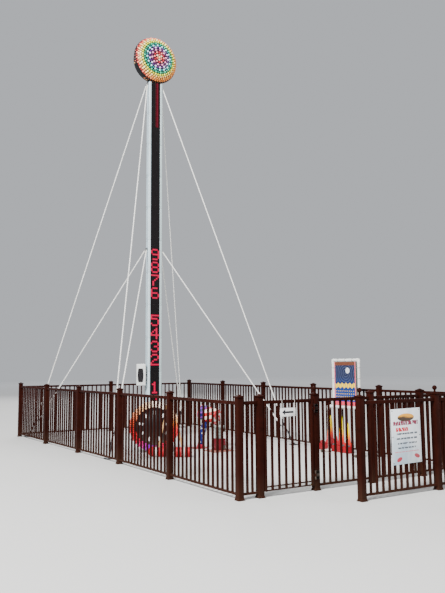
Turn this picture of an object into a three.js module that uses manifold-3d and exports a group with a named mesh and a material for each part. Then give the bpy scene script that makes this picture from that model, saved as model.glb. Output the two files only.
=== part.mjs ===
// Guyed high striker, a fairground strength tester, in its own railed court with an exit gate.
// Millimetres, +Z up. The origin is on the ground in the middle of the column's foot.
// The column's display faces -Y, towards the gate; +X is to the right of somebody facing it.
// The court's middle line is COURT_X to the right of the column's.
import * as THREE from 'three';
import { mergeVertices } from 'three/addons/utils/BufferGeometryUtils.js';
import Module from 'manifold-3d';

const wasm = await Module();
wasm.setup();

// Running gap kept between pieces that rest on one another.
const SEAT = 0.3;

// Column and its foot.
const COLUMN_WIDTH = 310;
const COLUMN_DEPTH = 100;
const COLUMN_TOP = 7620;
const FOOT_PLATE = 16;
const GUSSET_X = 110;
const GUSSET_THICKNESS = 12;
const GUSSET_REACH = 75;
const GUSSET_HEIGHT = 190;
const FOOT_WIDTH = 760;
const FOOT_DEPTH = 560;
const DISPLAY_WIDTH = 216;
const DISPLAY_DEPTH = 22;
const DISPLAY_BOTTOM = 330;
const STRIP_DEPTH = 34;

// Head: a lamp dome on a shallow drum.
const HEAD_RADIUS = 500;
const HEAD_CENTRE_Z = 8130;
const DOME_BULGE = 205;
const DOME_RIM = 36;
const DRUM_RADIUS = 440;
const DRUM_DEPTH = 160;
const RIM_PLANE_Y = -20;
const DOME_STEPS = 6;
const ROUND_SIDES = 36;
const SADDLE_SET_BACK = 2;
const SADDLE_TOP_DROP = 0.8;

// Guys.
const YOKE_HEIGHTS = { upper: 7585, lower: 3970 };
const YOKE_BAR = 46;
const YOKE_THICKNESS = 12;
const YOKE_ARM_FRONT = -38;
const ROPE_RADIUS = 12;
const ANCHOR_FEET = {
  front_left: [-1815, -2100],
  front_right: [1870, -2300],
  rear_left: [-1930, 2200],
  rear_right: [1900, 2200],
};
const ANCHOR_PLATE = 150;
const ANCHOR_PLATE_THICKNESS = 12;
const ANCHOR_BAR_RADIUS = 13;
const ANCHOR_BAR_START = 7;
const SHACKLE_RADIUS = 9;
const ANCHOR_RING_HEIGHT = 400;
const EYE_RADIUS = 24;
const LOW_EYE_OFFSET = 75;
const LOW_EYE_DROP = 40;
const ANCHOR_AIM = { side: 190, height: 5600 };
const EAR_OUT = 17;
const EAR_SPREAD = 20;
const STUB_RADIUS = 15;
const STUB_LENGTH = 44;

// Loudspeaker beside the column, turned a little to the left of the display.
const SPEAKER = [-278, -12];
const SPEAKER_TURN = -0.42;
const SPEAKER_HALF_WIDTH = 95;
const SPEAKER_HALF_DEPTH = 75;
const SPEAKER_Z = [1120, 1560];
const SPEAKER_BRACKET_X = -215;
const SPEAKER_BRACKET_Y = [-20, 30];
const SPEAKER_BRACKET_INSET = 60;

// Everything in the court is placed from the court's own middle line.
const COURT_X = 50;

// Strike pedestal.
const PEDESTAL = [150, -2280];
const STRIKE_PLATE_SIZE = [420, 340, 22];
const STRIKE_HOUSING = 165;
const STRIKE_HOUSING_TOP = 222;
const PAD_STEM_RADIUS = 76;
const PAD_STEM_TOP = 420;
const PAD_RADIUS = 92;
const PAD_BOTTOM = 400;
const PAD_TOP = 450;

// Round lamp board that stands in the court, turned towards the left.
const BOARD = [-900, -1800];
const BOARD_TURN = -0.5;
const BOARD_RADIUS = 445;
const BOARD_RING = 120;
const BOARD_CENTRE_Z = 458;
const BOARD_NOSE = 60;
const BOARD_NOSE_INSET = 30;
const BOARD_BACK = 20;
const BOARD_LIP = 45;
const BOARD_FACE = 30;
const BOARD_HUB_RADIUS = 200;
const BOARD_POST_HALF = 40;
const BOARD_POST_BACK = 60;
const BOARD_POST_TOP = 608;
const BOARD_FOOT = [[-240, 240], [25, 225], [0, 14]];

// Show mallet: the foot stays level, the handle and the head lean.
const SHOW_MALLET = [75, -1700];
const SHOW_MALLET_TURN = -1.05;
const SHOW_MALLET_LEAN = 0.25;
const SHOW_FOOT_RADIUS = 150;
const SHOW_FOOT_THICKNESS = 14;
const SHOW_HANDLE_RADIUS = 52;
const SHOW_HANDLE_TOP = 510;
const SHOW_HEAD_RADIUS = 140;
const SHOW_HEAD_LENGTH = 370;
const SHOW_HEAD_SHIFT = 45;
const SHOW_HEAD_Z = 650;

// Two striking mallets: each head is on the ground, each handle leans on the lamp board's ring.
const MALLET_HEAD_RADIUS = 82;
const MALLET_HEAD_LENGTH = 300;
const MALLET_HANDLE_RADIUS = 17;
const MALLET_KNOB_RADIUS = 24;
const MALLETS = {
  left: { head: [-1090, -2330], turn: -0.95, ringAngle: 1.0 },
  right: { head: [-760, -2600], turn: -0.5, ringAngle: 0.25 },
};

// Rack of white pipe with the framed poster on it, along the right-hand fence.
const RACK_X = 1700;
const RACK_Y = [-4298, -3453];
const RACK_PIPE = 25;
const RACK_RAIL_Z = 790;
const RACK_FOOT_X = [-190, 25];
const SIGN_Y = [-4238, -3602];
const SIGN_TOP_Z = 1592;
const POSTER_THICKNESS = 8;
const JOINT_EASE = 0.5;

// Flame-shaped board on its red plinth, behind the rack.
const FLAME_X = [1760, 1880];
const FLAME_Y = -3080;
const FLAME_LENGTH = 800;
const PLINTH_HEIGHT = 110;
const FLAME_THICKNESS = 24;
const FLAME_OUTLINE = [
  [0, 100], [0, 150], [60, 175], [110, 140], [152, 155], [188, 250], [208, 380], [246, 500],
  [292, 618], [320, 510], [326, 370], [334, 240], [366, 145], [400, 170], [430, 270], [452, 195],
  [480, 150], [506, 260], [520, 410], [544, 540], [570, 632], [592, 520], [600, 370], [612, 220],
  [642, 142], [668, 180], [688, 300], [708, 420], [742, 515], [760, 410], [768, 290], [778, 190],
  [800, 135], [800, 100],
];

// Court and lane fences.
const COURT_HALF_WIDTH = 1962;
const FRONT_Y = -6130;
const RUN_BAY = 1700;
const RUN_BAYS = 5;
const BAYS_BEFORE_BEND = 2;
const BEND_ANGLE = 0.032;
const FENCE_TOP = 1100;
const POST = 75;
const POST_CAP_TOP = 1175;
const RAIL = 40;
const LOW_RAIL = 26;
const LOW_RAIL_BOTTOM = 50;
const PICKET = 25;
const PICKET_PITCH = 108;
const FRONT_PITCH = 98;
const LATCH_POST_X = -1680;
const HINGE_POST_X = -852;
const FRONT_BAYS = 3;
const REAR_BAYS = 2;
const LANE_Y = -6925;
const LANE_START_X = -856;
const LANE_BAY = 1250;
const LANE_BAYS = 2;
const BALL_RADIUS = 29;
const BALL_NECK_RADIUS = 12;
const BALL_RISE = 48;
const CAP_OVERHANG = 8;
const CAP_PLATE = 18;
const FILLER_PITCH = 76;

// Exit gate.
const LEAF_THICKNESS = 36;
const LEAF_STILE = 34;
const LEAF_SIDE_GAP = 9;
const LEAF_GAPS = 7;
const LEAF_LOW_BARS = [66, 108];
const LEAF_LOW_BAR = 15;
const HINGE_HEIGHTS = { upper: 985, lower: 190 };
const KNUCKLE_RADIUS = 10;
const KNUCKLE_BORE = 5.6;
const PIN_RADIUS = 5;
const KNUCKLE_LENGTH = 34;
const KNUCKLE_GAP = 2;
const HINGE_PLATE_REACH = [16, 62];
const HINGE_PLATE_THICKNESS = 5;
const LATCH_Z = [955, 985];
const LATCH_HALF_DEPTH = 6;
const KEEPER_Z = [930, 1010];
const KEEPER_THICKNESS = 4;
const KEEPER_REACH = [4, 30];
const SIGN_X = [-509, -282];
const SIGN_Z = [905, 1003];
const SIGN_THICKNESS = 6;

// Board tied to the lane fence.
const LANE_BOARD_CENTRE = [-143, 673];
const LANE_BOARD_SIZE = [485, 637];
const LANE_BOARD_TURN = 0.015;

const material = (color, roughness, metalness) =>
  new THREE.MeshStandardMaterial({ color, roughness, metalness });

const fencePaint = () => material(0x3e1c16, 0.42, 0.25);
const whitePaint = () => material(0xd3dbde, 0.4, 0.2);
const blackPaint = () => material(0x121315, 0.5, 0.3);
const redPaint = () => material(0xb4121f, 0.38, 0.2);
const darkSteel = () => material(0x3a3d40, 0.45, 0.85);
const ropeWhite = () => material(0xe2ddd0, 0.9, 0);
const lampLens = () => material(0xe89a3a, 0.25, 0);
const lightStrip = () => material(0xf6f8fa, 0.3, 0);
const rubberBlack = () => material(0x1a1a1c, 0.85, 0);

// A box given by its limits along each axis.
function block([x0, x1], [y0, y1], [z0, z1]) {
  const geometry = new THREE.BoxGeometry(x1 - x0, y1 - y0, z1 - z0);
  return geometry.translate((x0 + x1) / 2, (y0 + y1) / 2, (z0 + z1) / 2);
}

// An upright round or many-sided bar standing on height bottom.
function upright(radius, bottom, top, sides, radiusTop = radius) {
  const geometry = new THREE.CylinderGeometry(radiusTop, radius, top - bottom, sides);
  return geometry.rotateX(Math.PI / 2).translate(0, 0, (bottom + top) / 2);
}

// A round bar from one point to another.
function bar(from, to, radius, sides) {
  const start = new THREE.Vector3(...from);
  const end = new THREE.Vector3(...to);
  const along = end.clone().sub(start);
  const geometry = new THREE.CylinderGeometry(radius, radius, along.length(), sides);
  const turn = new THREE.Quaternion().setFromUnitVectors(
    new THREE.Vector3(0, 1, 0), along.clone().normalize());
  geometry.applyQuaternion(turn);
  const middle = start.add(end).multiplyScalar(0.5);
  return geometry.translate(middle.x, middle.y, middle.z);
}

// A body of revolution about the Y axis; the profile is a list of [radius, y].
function turnedAboutY(profile, segments) {
  const points = profile.map(([radius, y]) => new THREE.Vector2(radius, y));
  return new THREE.LatheGeometry(points, segments);
}

function toSolid(geometry) {
  const plain = geometry.clone();
  plain.deleteAttribute('normal');
  plain.deleteAttribute('uv');
  const merged = mergeVertices(plain, 1e-3);
  return new wasm.Manifold(new wasm.Mesh({
    numProp: 3,
    vertProperties: merged.attributes.position.array,
    triVerts: new Uint32Array(merged.index.array),
  }));
}

function toGeometry(solid) {
  const mesh = solid.getMesh();
  const geometry = new THREE.BufferGeometry();
  geometry.setAttribute('position', new THREE.BufferAttribute(mesh.vertProperties, 3));
  geometry.setIndex(new THREE.BufferAttribute(mesh.triVerts, 1));
  geometry.computeVertexNormals();
  return geometry;
}

const joined = (geometries) =>
  toGeometry(geometries.map(toSolid).reduce((whole, next) => whole.add(next)));

const cutBy = (geometry, cutters) =>
  toGeometry(cutters.map(toSolid).reduce((left, next) => left.subtract(next), toSolid(geometry)));

const machine = new THREE.Group();
const court = new THREE.Group();
court.position.x = COURT_X;
machine.add(court);

function addPiece(name, geometry, look, parent = machine) {
  const mesh = new THREE.Mesh(geometry, look);
  mesh.name = name;
  parent.add(mesh);
  return mesh;
}

// Column: foot plate, housing, black display and the two light strips beside it.
function buildColumn() {
  const halfWidth = COLUMN_WIDTH / 2;
  const halfDepth = COLUMN_DEPTH / 2;
  const front = -halfDepth;
  const gusset = (x) => block([x - GUSSET_THICKNESS / 2, x + GUSSET_THICKNESS / 2],
    [halfDepth + SEAT, halfDepth + GUSSET_REACH], [FOOT_PLATE - 1, FOOT_PLATE + GUSSET_HEIGHT]);
  addPiece('column_foot', joined([
    block([-FOOT_WIDTH / 2, FOOT_WIDTH / 2], [-FOOT_DEPTH / 2, FOOT_DEPTH / 2], [0, FOOT_PLATE]),
    gusset(-GUSSET_X),
    gusset(GUSSET_X),
  ]), darkSteel());
  addPiece('column_housing',
    block([-halfWidth, halfWidth], [front, halfDepth], [FOOT_PLATE + SEAT, COLUMN_TOP]),
    whitePaint());
  const displayFront = front - SEAT - DISPLAY_DEPTH;
  addPiece('display_panel',
    block([-DISPLAY_WIDTH / 2, DISPLAY_WIDTH / 2], [displayFront, front - SEAT],
      [DISPLAY_BOTTOM, COLUMN_TOP]),
    blackPaint());
  for (const [side, sign] of [['left', -1], ['right', 1]]) {
    const inner = sign * (DISPLAY_WIDTH / 2 + SEAT);
    const outer = sign * halfWidth;
    addPiece(`light_strip_${side}`,
      block([Math.min(inner, outer), Math.max(inner, outer)],
        [front - SEAT - STRIP_DEPTH, front - SEAT], [FOOT_PLATE + SEAT, COLUMN_TOP]),
      lightStrip());
  }
}

// Head: lamp dome, drum behind it and the saddle that carries the drum on the column.
function buildHead() {
  const domeProfile = [[0, -DOME_BULGE - DOME_RIM]];
  for (let step = 1; step < DOME_STEPS; step += 1) {
    const angle = (step / DOME_STEPS) * Math.PI / 2;
    domeProfile.push([HEAD_RADIUS * Math.sin(angle), -DOME_RIM - DOME_BULGE * Math.cos(angle)]);
  }
  domeProfile.push([HEAD_RADIUS, -DOME_RIM], [HEAD_RADIUS, 0], [0, 0]);
  const head = new THREE.Group();
  head.position.set(0, RIM_PLANE_Y, HEAD_CENTRE_Z);
  machine.add(head);
  addPiece('head_dome', turnedAboutY(domeProfile, ROUND_SIDES), lampLens(), head);
  const drum = turnedAboutY(
    [[0, SEAT], [DRUM_RADIUS, SEAT], [DRUM_RADIUS, DRUM_DEPTH], [0, DRUM_DEPTH]],
    ROUND_SIDES);
  addPiece('head_drum', drum, blackPaint(), head);
  const saddle = block([-COLUMN_WIDTH / 2, COLUMN_WIDTH / 2],
    [RIM_PLANE_Y + SADDLE_SET_BACK, COLUMN_DEPTH / 2],
    [COLUMN_TOP + SEAT, HEAD_CENTRE_Z - DRUM_RADIUS * SADDLE_TOP_DROP]);
  const room = turnedAboutY([
    [0, 0],
    [DRUM_RADIUS + SEAT, 0],
    [DRUM_RADIUS + SEAT, 2 * DRUM_DEPTH],
    [0, 2 * DRUM_DEPTH],
  ], ROUND_SIDES).translate(0, RIM_PLANE_Y, HEAD_CENTRE_Z);
  addPiece('head_saddle', cutBy(saddle, [room]), blackPaint());
}

const CORNERS = [
  ['front_left', -1, -1],
  ['front_right', 1, -1],
  ['rear_left', -1, 1],
  ['rear_right', 1, 1],
];

// The anchor of one corner: its foot, the eye of the upper rope and the lower rope's eye inside it.
function anchorPoints(corner, signX) {
  const foot = new THREE.Vector3(...ANCHOR_FEET[corner], 0);
  const aim = new THREE.Vector3(signX * ANCHOR_AIM.side, 0, ANCHOR_AIM.height).sub(foot).normalize();
  const ring = foot.clone().addScaledVector(aim, ANCHOR_RING_HEIGHT / aim.z);
  const shackle = ring.clone().addScaledVector(aim, -LOW_EYE_DROP / aim.z);
  const inward = new THREE.Vector3(-foot.x, -foot.y, 0).normalize();
  const lowEye = shackle.clone().addScaledVector(inward, LOW_EYE_OFFSET);
  return { foot, ring, shackle, lowEye };
}

// Where one rope starts at its anchor eye and ends at its yoke, with its direction.
function guyLine(eye, level, signX, signY) {
  const ear = new THREE.Vector3(
    signX * (COLUMN_WIDTH / 2 + SEAT + EAR_OUT), signY * EAR_SPREAD, YOKE_HEIGHTS[level]);
  const along = ear.clone().sub(eye).normalize();
  return { eye, ear, along };
}

const stubFrom = (point, along, length) =>
  bar(point.toArray(), point.clone().addScaledVector(along, length).toArray(), STUB_RADIUS, 8);

// Yokes round the column's back and sides, four ground anchors, two ropes from each anchor.
function buildGuys() {
  const back = COLUMN_DEPTH / 2 + SEAT;
  const side = COLUMN_WIDTH / 2 + SEAT;
  const depth = [YOKE_ARM_FRONT, back + YOKE_THICKNESS];
  const yokes = {};
  for (const [level, height] of Object.entries(YOKE_HEIGHTS)) {
    const band = [height - YOKE_BAR / 2, height + YOKE_BAR / 2];
    yokes[level] = [
      block([-side - 1, side + 1], [back, back + YOKE_THICKNESS], band),
      block([-side - YOKE_THICKNESS, -side], depth, band),
      block([side, side + YOKE_THICKNESS], depth, band),
    ];
  }
  for (const [corner, signX, signY] of CORNERS) {
    const { foot, ring, shackle, lowEye } = anchorPoints(corner, signX);
    const half = ANCHOR_PLATE / 2;
    const anchor = [
      block([foot.x - half, foot.x + half], [foot.y - half, foot.y + half],
        [0, ANCHOR_PLATE_THICKNESS]),
      bar([foot.x, foot.y, ANCHOR_BAR_START], ring.toArray(), ANCHOR_BAR_RADIUS, 8),
      new THREE.SphereGeometry(EYE_RADIUS, 10, 6).translate(ring.x, ring.y, ring.z),
      new THREE.SphereGeometry(EYE_RADIUS, 10, 6).translate(lowEye.x, lowEye.y, lowEye.z),
      bar(lowEye.toArray(), shackle.toArray(), SHACKLE_RADIUS, 6),
    ];
    for (const [level, eye] of [['upper', ring], ['lower', lowEye]]) {
      const { ear, along } = guyLine(eye, level, signX, signY);
      anchor.push(stubFrom(eye, along, STUB_LENGTH));
      yokes[level].push(stubFrom(ear, along.clone().negate(), STUB_LENGTH));
      const start = eye.clone().addScaledVector(along, STUB_LENGTH + SEAT);
      const end = ear.clone().addScaledVector(along, -STUB_LENGTH - SEAT);
      addPiece(`guy_rope_${level}_${corner}`,
        bar(start.toArray(), end.toArray(), ROPE_RADIUS, 8), ropeWhite());
    }
    addPiece(`guy_anchor_${corner}`, joined(anchor), darkSteel());
  }
  for (const [level, pieces] of Object.entries(yokes)) {
    addPiece(`guy_yoke_${level}`, joined(pieces), darkSteel());
  }
}

// Loudspeaker on the column's left side, on its own bracket.
function buildLoudspeaker() {
  const side = -COLUMN_WIDTH / 2 - SEAT;
  addPiece('loudspeaker', joined([
    block([-SPEAKER_HALF_WIDTH, SPEAKER_HALF_WIDTH], [-SPEAKER_HALF_DEPTH, SPEAKER_HALF_DEPTH],
      SPEAKER_Z).rotateZ(SPEAKER_TURN).translate(...SPEAKER, 0),
    block([SPEAKER_BRACKET_X, side], SPEAKER_BRACKET_Y,
      [SPEAKER_Z[0] + SPEAKER_BRACKET_INSET, SPEAKER_Z[1] - SPEAKER_BRACKET_INSET]),
  ]), whitePaint());
}

// Strike pedestal in front of the column: floor plate, red housing and the pad that is hit.
function buildPedestal() {
  const pedestal = new THREE.Group();
  pedestal.position.set(...PEDESTAL, 0);
  court.add(pedestal);
  const [width, depth, thickness] = STRIKE_PLATE_SIZE;
  const half = STRIKE_HOUSING / 2;
  addPiece('strike_plate',
    block([-width / 2, width / 2], [-depth / 2, depth / 2], [0, thickness]), redPaint(), pedestal);
  addPiece('strike_housing',
    block([-half, half], [-half, half], [thickness + SEAT, STRIKE_HOUSING_TOP]), redPaint(), pedestal);
  addPiece('strike_pad', joined([
    upright(PAD_STEM_RADIUS, STRIKE_HOUSING_TOP + SEAT, PAD_STEM_TOP, 20),
    upright(PAD_RADIUS, PAD_BOTTOM, PAD_TOP, 20),
  ]), rubberBlack(), pedestal);
}

// Round lamp board that stands on the ground to the left of the player.
function buildLampBoard() {
  const board = new THREE.Group();
  board.position.set(...BOARD, 0);
  board.rotation.z = BOARD_TURN;
  court.add(board);
  const inner = BOARD_RADIUS - BOARD_RING;
  const ring = turnedAboutY([
    [inner, -BOARD_LIP], [BOARD_RADIUS - BOARD_NOSE_INSET, -BOARD_NOSE],
    [BOARD_RADIUS, -BOARD_BACK], [BOARD_RADIUS, BOARD_BACK], [inner, BOARD_BACK],
    [inner, -BOARD_LIP],
  ], 32).translate(0, 0, BOARD_CENTRE_Z);
  addPiece('lamp_board_ring', ring, lampLens(), board);
  const disc = turnedAboutY([
    [0, -BOARD_FACE], [inner - SEAT, -BOARD_FACE], [inner - SEAT, BOARD_BACK],
    [BOARD_HUB_RADIUS, BOARD_BACK], [BOARD_HUB_RADIUS, 2 * BOARD_BACK], [0, 2 * BOARD_BACK],
  ], 32).translate(0, 0, BOARD_CENTRE_Z);
  addPiece('lamp_board_face', joined([
    disc,
    block([-BOARD_POST_HALF, BOARD_POST_HALF], [BOARD_BACK + SEAT, BOARD_POST_BACK],
      [0, BOARD_POST_TOP]),
    block(...BOARD_FOOT),
  ]), blackPaint(), board);
}

// Oversize show mallet that leans a little, on a level foot disc.
function buildShowMallet() {
  const mallet = new THREE.Group();
  mallet.position.set(...SHOW_MALLET, 0);
  mallet.rotation.z = SHOW_MALLET_TURN;
  court.add(mallet);
  const lean = (geometry) => geometry.rotateY(SHOW_MALLET_LEAN);
  const socket = upright(SHOW_HANDLE_RADIUS + SEAT, 0, SHOW_HANDLE_TOP + SEAT, 12);
  addPiece('show_mallet_handle', joined([
    upright(SHOW_FOOT_RADIUS, 0, SHOW_FOOT_THICKNESS, 20),
    lean(upright(SHOW_HANDLE_RADIUS, SHOW_FOOT_THICKNESS, SHOW_HANDLE_TOP, 12)),
  ]), material(0x1f3f9a, 0.6, 0), mallet);
  const head = new THREE.CylinderGeometry(SHOW_HEAD_RADIUS, SHOW_HEAD_RADIUS, SHOW_HEAD_LENGTH, 20)
    .rotateZ(Math.PI / 2).translate(SHOW_HEAD_SHIFT, 0, SHOW_HEAD_Z);
  addPiece('show_mallet_head', cutBy(lean(head), [lean(socket)]), material(0xd8d8dc, 0.6, 0), mallet);
}

// Striking mallets. Each knob is SEAT away from the foremost edge of the lamp board's ring.
function buildMallets() {
  for (const [side, { head, turn, ringAngle }] of Object.entries(MALLETS)) {
    const reach = BOARD_RADIUS - BOARD_NOSE_INSET;
    const onRing = new THREE.Vector3(
      reach * Math.cos(ringAngle),
      -BOARD_NOSE - SEAT - MALLET_KNOB_RADIUS,
      BOARD_CENTRE_Z + reach * Math.sin(ringAngle),
    );
    const knob = onRing.applyAxisAngle(new THREE.Vector3(0, 0, 1), BOARD_TURN)
      .add(new THREE.Vector3(...BOARD, 0)).toArray();
    const centre = [head[0], head[1], MALLET_HEAD_RADIUS];
    addPiece(`mallet_${side}`, joined([
      new THREE.CylinderGeometry(MALLET_HEAD_RADIUS, MALLET_HEAD_RADIUS, MALLET_HEAD_LENGTH, 20)
        .rotateZ(Math.PI / 2).rotateX(Math.PI / 20).rotateZ(turn).translate(...centre),
      bar(centre, knob, MALLET_HANDLE_RADIUS, 10),
      new THREE.SphereGeometry(MALLET_KNOB_RADIUS, 12, 8).translate(...knob),
    ]), redPaint(), court);
  }
}

// Rack of white pipe: two legs with floor feet, a top rail, and the poster's frame on it.
function buildRack() {
  const rack = new THREE.Group();
  rack.position.set(RACK_X, 0, 0);
  court.add(rack);
  const pipe = (from, to, ease = 0) => bar(from, to, RACK_PIPE - ease, 12);
  const pieces = [
    pipe([0, RACK_Y[0], RACK_RAIL_Z], [0, RACK_Y[1], RACK_RAIL_Z]),
    pipe([0, SIGN_Y[0], SIGN_TOP_Z], [0, SIGN_Y[1], SIGN_TOP_Z]),
  ];
  for (const y of RACK_Y) {
    pieces.push(pipe([0, y, RACK_PIPE], [0, y, RACK_RAIL_Z], JOINT_EASE));
    pieces.push(pipe([RACK_FOOT_X[0], y, RACK_PIPE], [RACK_FOOT_X[1], y, RACK_PIPE]));
    pieces.push(new THREE.SphereGeometry(RACK_PIPE, 12, 8).translate(0, y, RACK_RAIL_Z));
  }
  for (const y of SIGN_Y) {
    pieces.push(pipe([0, y, RACK_RAIL_Z], [0, y, SIGN_TOP_Z], JOINT_EASE));
    pieces.push(new THREE.SphereGeometry(RACK_PIPE, 12, 8).translate(0, y, SIGN_TOP_Z));
  }
  addPiece('poster_frame', joined(pieces), whitePaint(), rack);
  const edge = RACK_PIPE + SEAT;
  addPiece('poster_board', block([-POSTER_THICKNESS / 2, POSTER_THICKNESS / 2],
    [SIGN_Y[0] + edge, SIGN_Y[1] - edge], [RACK_RAIL_Z + edge, SIGN_TOP_Z - edge]),
    material(0x1d4fae, 0.4, 0), rack);
}

// Flame board: a cut-out that rises from the plinth, in line with the right-hand fence.
function buildFlameBoard() {
  const outline = new THREE.Shape(FLAME_OUTLINE.map(([along, z]) => new THREE.Vector2(along, z)));
  const board = new THREE.ExtrudeGeometry(outline, { depth: FLAME_THICKNESS, bevelEnabled: false })
    .rotateX(Math.PI / 2).rotateZ(-Math.PI / 2)
    .translate((FLAME_X[0] + FLAME_X[1] + FLAME_THICKNESS) / 2, FLAME_Y, 0);
  addPiece('flame_board', joined([
    board,
    block(FLAME_X, [FLAME_Y - FLAME_LENGTH, FLAME_Y], [0, PLINTH_HEIGHT]),
  ]), redPaint(), court);
}

// Post with a flat cap or a ball on top, standing at the local origin.
function postPieces(ballTopped) {
  const half = POST / 2;
  const pieces = [
    block([-half, half], [-half, half], [0, POST_CAP_TOP - 30]),
    block([-half - CAP_OVERHANG, half + CAP_OVERHANG], [-half - CAP_OVERHANG, half + CAP_OVERHANG],
      [POST_CAP_TOP - 32, POST_CAP_TOP - 32 + CAP_PLATE]),
  ];
  if (ballTopped) {
    pieces.push(upright(BALL_NECK_RADIUS, POST_CAP_TOP - 20, POST_CAP_TOP + BALL_RISE / 2, 8));
    pieces.push(new THREE.SphereGeometry(BALL_RADIUS, 12, 8)
      .rotateX(Math.PI / 2).translate(0, 0, POST_CAP_TOP + BALL_RISE));
  } else {
    const pyramid = upright(half * Math.SQRT2, POST_CAP_TOP - 15, POST_CAP_TOP + 4, 4, 10)
      .rotateZ(Math.PI / 4);
    pieces.push(pyramid);
  }
  return pieces;
}

// Rails and pickets from x0 to x1 along the local X axis.
function panelPieces(x0, x1, pitch) {
  const halfRail = RAIL / 2;
  const halfLow = LOW_RAIL / 2;
  const halfPicket = PICKET / 2;
  const pieces = [
    block([x0, x1], [-halfRail, halfRail], [FENCE_TOP - RAIL, FENCE_TOP]),
    block([x0, x1], [-halfLow - 2, halfLow + 2], [LOW_RAIL_BOTTOM, LOW_RAIL_BOTTOM + LOW_RAIL]),
  ];
  const spaces = Math.round((x1 - x0) / pitch);
  const step = (x1 - x0) / spaces;
  for (let index = 1; index < spaces; index += 1) {
    const x = x0 + index * step;
    pieces.push(block([x - halfPicket, x + halfPicket], [-halfPicket, halfPicket],
      [LOW_RAIL_BOTTOM + LOW_RAIL - 1, FENCE_TOP - RAIL + 1]));
  }
  return pieces;
}

// A bay: its first post at the local origin, and the panel up to the face of the next post.
function bayGeometry(length, pitch, options = {}) {
  const { ball = false, lastPost = false, lastBall = false, nextIsTurned = false } = options;
  const half = POST / 2;
  const turnRoom = nextIsTurned ? RAIL / 2 * Math.tan(BEND_ANGLE) : 0;
  const endFace = length - half - SEAT - turnRoom;
  const pieces = [...postPieces(ball)];
  if (lastPost) {
    pieces.push(...panelPieces(half - 1, length - half + 1, pitch));
    pieces.push(...postPieces(lastBall).map((piece) => piece.translate(length, 0, 0)));
  } else {
    pieces.push(...panelPieces(half - 1, endFace, pitch));
  }
  return joined(pieces);
}

function placeBay(name, geometry, x, y, angle) {
  const mesh = addPiece(name, geometry, fencePaint(), court);
  mesh.position.set(x, y, 0);
  mesh.rotation.z = angle;
}

// Plan points of one side run, from its front corner to its rear corner.
function sideRunPoints(sign) {
  const points = [[sign * COURT_HALF_WIDTH, FRONT_Y]];
  for (let bay = 0; bay < RUN_BAYS; bay += 1) {
    const [x, y] = points[points.length - 1];
    const lean = bay < BAYS_BEFORE_BEND ? 0 : BEND_ANGLE;
    points.push([x + sign * RUN_BAY * Math.sin(lean), y + RUN_BAY * Math.cos(lean)]);
  }
  return points;
}

// Court fence, counted round from the gate's hinge post: front, right, rear and left runs.
function buildCourtFence() {
  const right = sideRunPoints(1);
  const left = sideRunPoints(-1);
  const frontBay = (COURT_HALF_WIDTH - HINGE_POST_X) / FRONT_BAYS;
  for (let bay = 0; bay < FRONT_BAYS; bay += 1) {
    placeBay(`front_fence_${bay + 1}`, bayGeometry(frontBay, FRONT_PITCH, { ball: bay === 0 }),
      HINGE_POST_X + bay * frontBay, FRONT_Y, 0);
  }
  const sideBay = bayGeometry(RUN_BAY, PICKET_PITCH);
  const turningBay = bayGeometry(RUN_BAY, PICKET_PITCH, { nextIsTurned: true });
  for (let bay = 0; bay < RUN_BAYS; bay += 1) {
    const [x, y] = right[bay];
    const lean = bay < BAYS_BEFORE_BEND ? 0 : BEND_ANGLE;
    const turning = bay === BAYS_BEFORE_BEND - 1 || bay === RUN_BAYS - 1;
    placeBay(`right_fence_${bay + 1}`, turning ? turningBay : sideBay, x, y, Math.PI / 2 - lean);
  }
  const [rearX, rearY] = right[RUN_BAYS];
  const rearBay = 2 * rearX / REAR_BAYS;
  for (let bay = 0; bay < REAR_BAYS; bay += 1) {
    const options = { nextIsTurned: bay === REAR_BAYS - 1 };
    placeBay(`rear_fence_${bay + 1}`, bayGeometry(rearBay, PICKET_PITCH, options),
      rearX - bay * rearBay, rearY, Math.PI);
  }
  for (let bay = 0; bay < RUN_BAYS; bay += 1) {
    const [x, y] = left[RUN_BAYS - bay];
    const lean = RUN_BAYS - bay > BAYS_BEFORE_BEND ? BEND_ANGLE : 0;
    const turning = bay === RUN_BAYS - BAYS_BEFORE_BEND - 1;
    placeBay(`left_fence_${bay + 1}`, turning ? turningBay : sideBay, x, y, -Math.PI / 2 + lean);
  }
  const filler = LATCH_POST_X + COURT_HALF_WIDTH;
  placeBay('front_fence_filler', bayGeometry(filler, FILLER_PITCH, { lastPost: true }),
    -COURT_HALF_WIDTH, FRONT_Y, 0);
}

// Lane fence in front of the court, on the way out of the gate.
function buildLaneFence() {
  for (let bay = 0; bay < LANE_BAYS; bay += 1) {
    const last = bay === LANE_BAYS - 1;
    const geometry = bayGeometry(LANE_BAY, FRONT_PITCH, { ball: true, lastPost: last, lastBall: true });
    placeBay(`lane_fence_${bay + 1}`, geometry, LANE_START_X + bay * LANE_BAY, LANE_Y, 0);
  }
}

// Hinge axis of the gate: in front of the hinge post's outer face, at its left edge.
const HINGE_X = HINGE_POST_X - POST / 2 - LEAF_SIDE_GAP / 2;
const HINGE_Y = FRONT_Y - POST / 2 - KNUCKLE_RADIUS - SEAT;
const LEAF_FRONT = KNUCKLE_RADIUS + SEAT;

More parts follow.
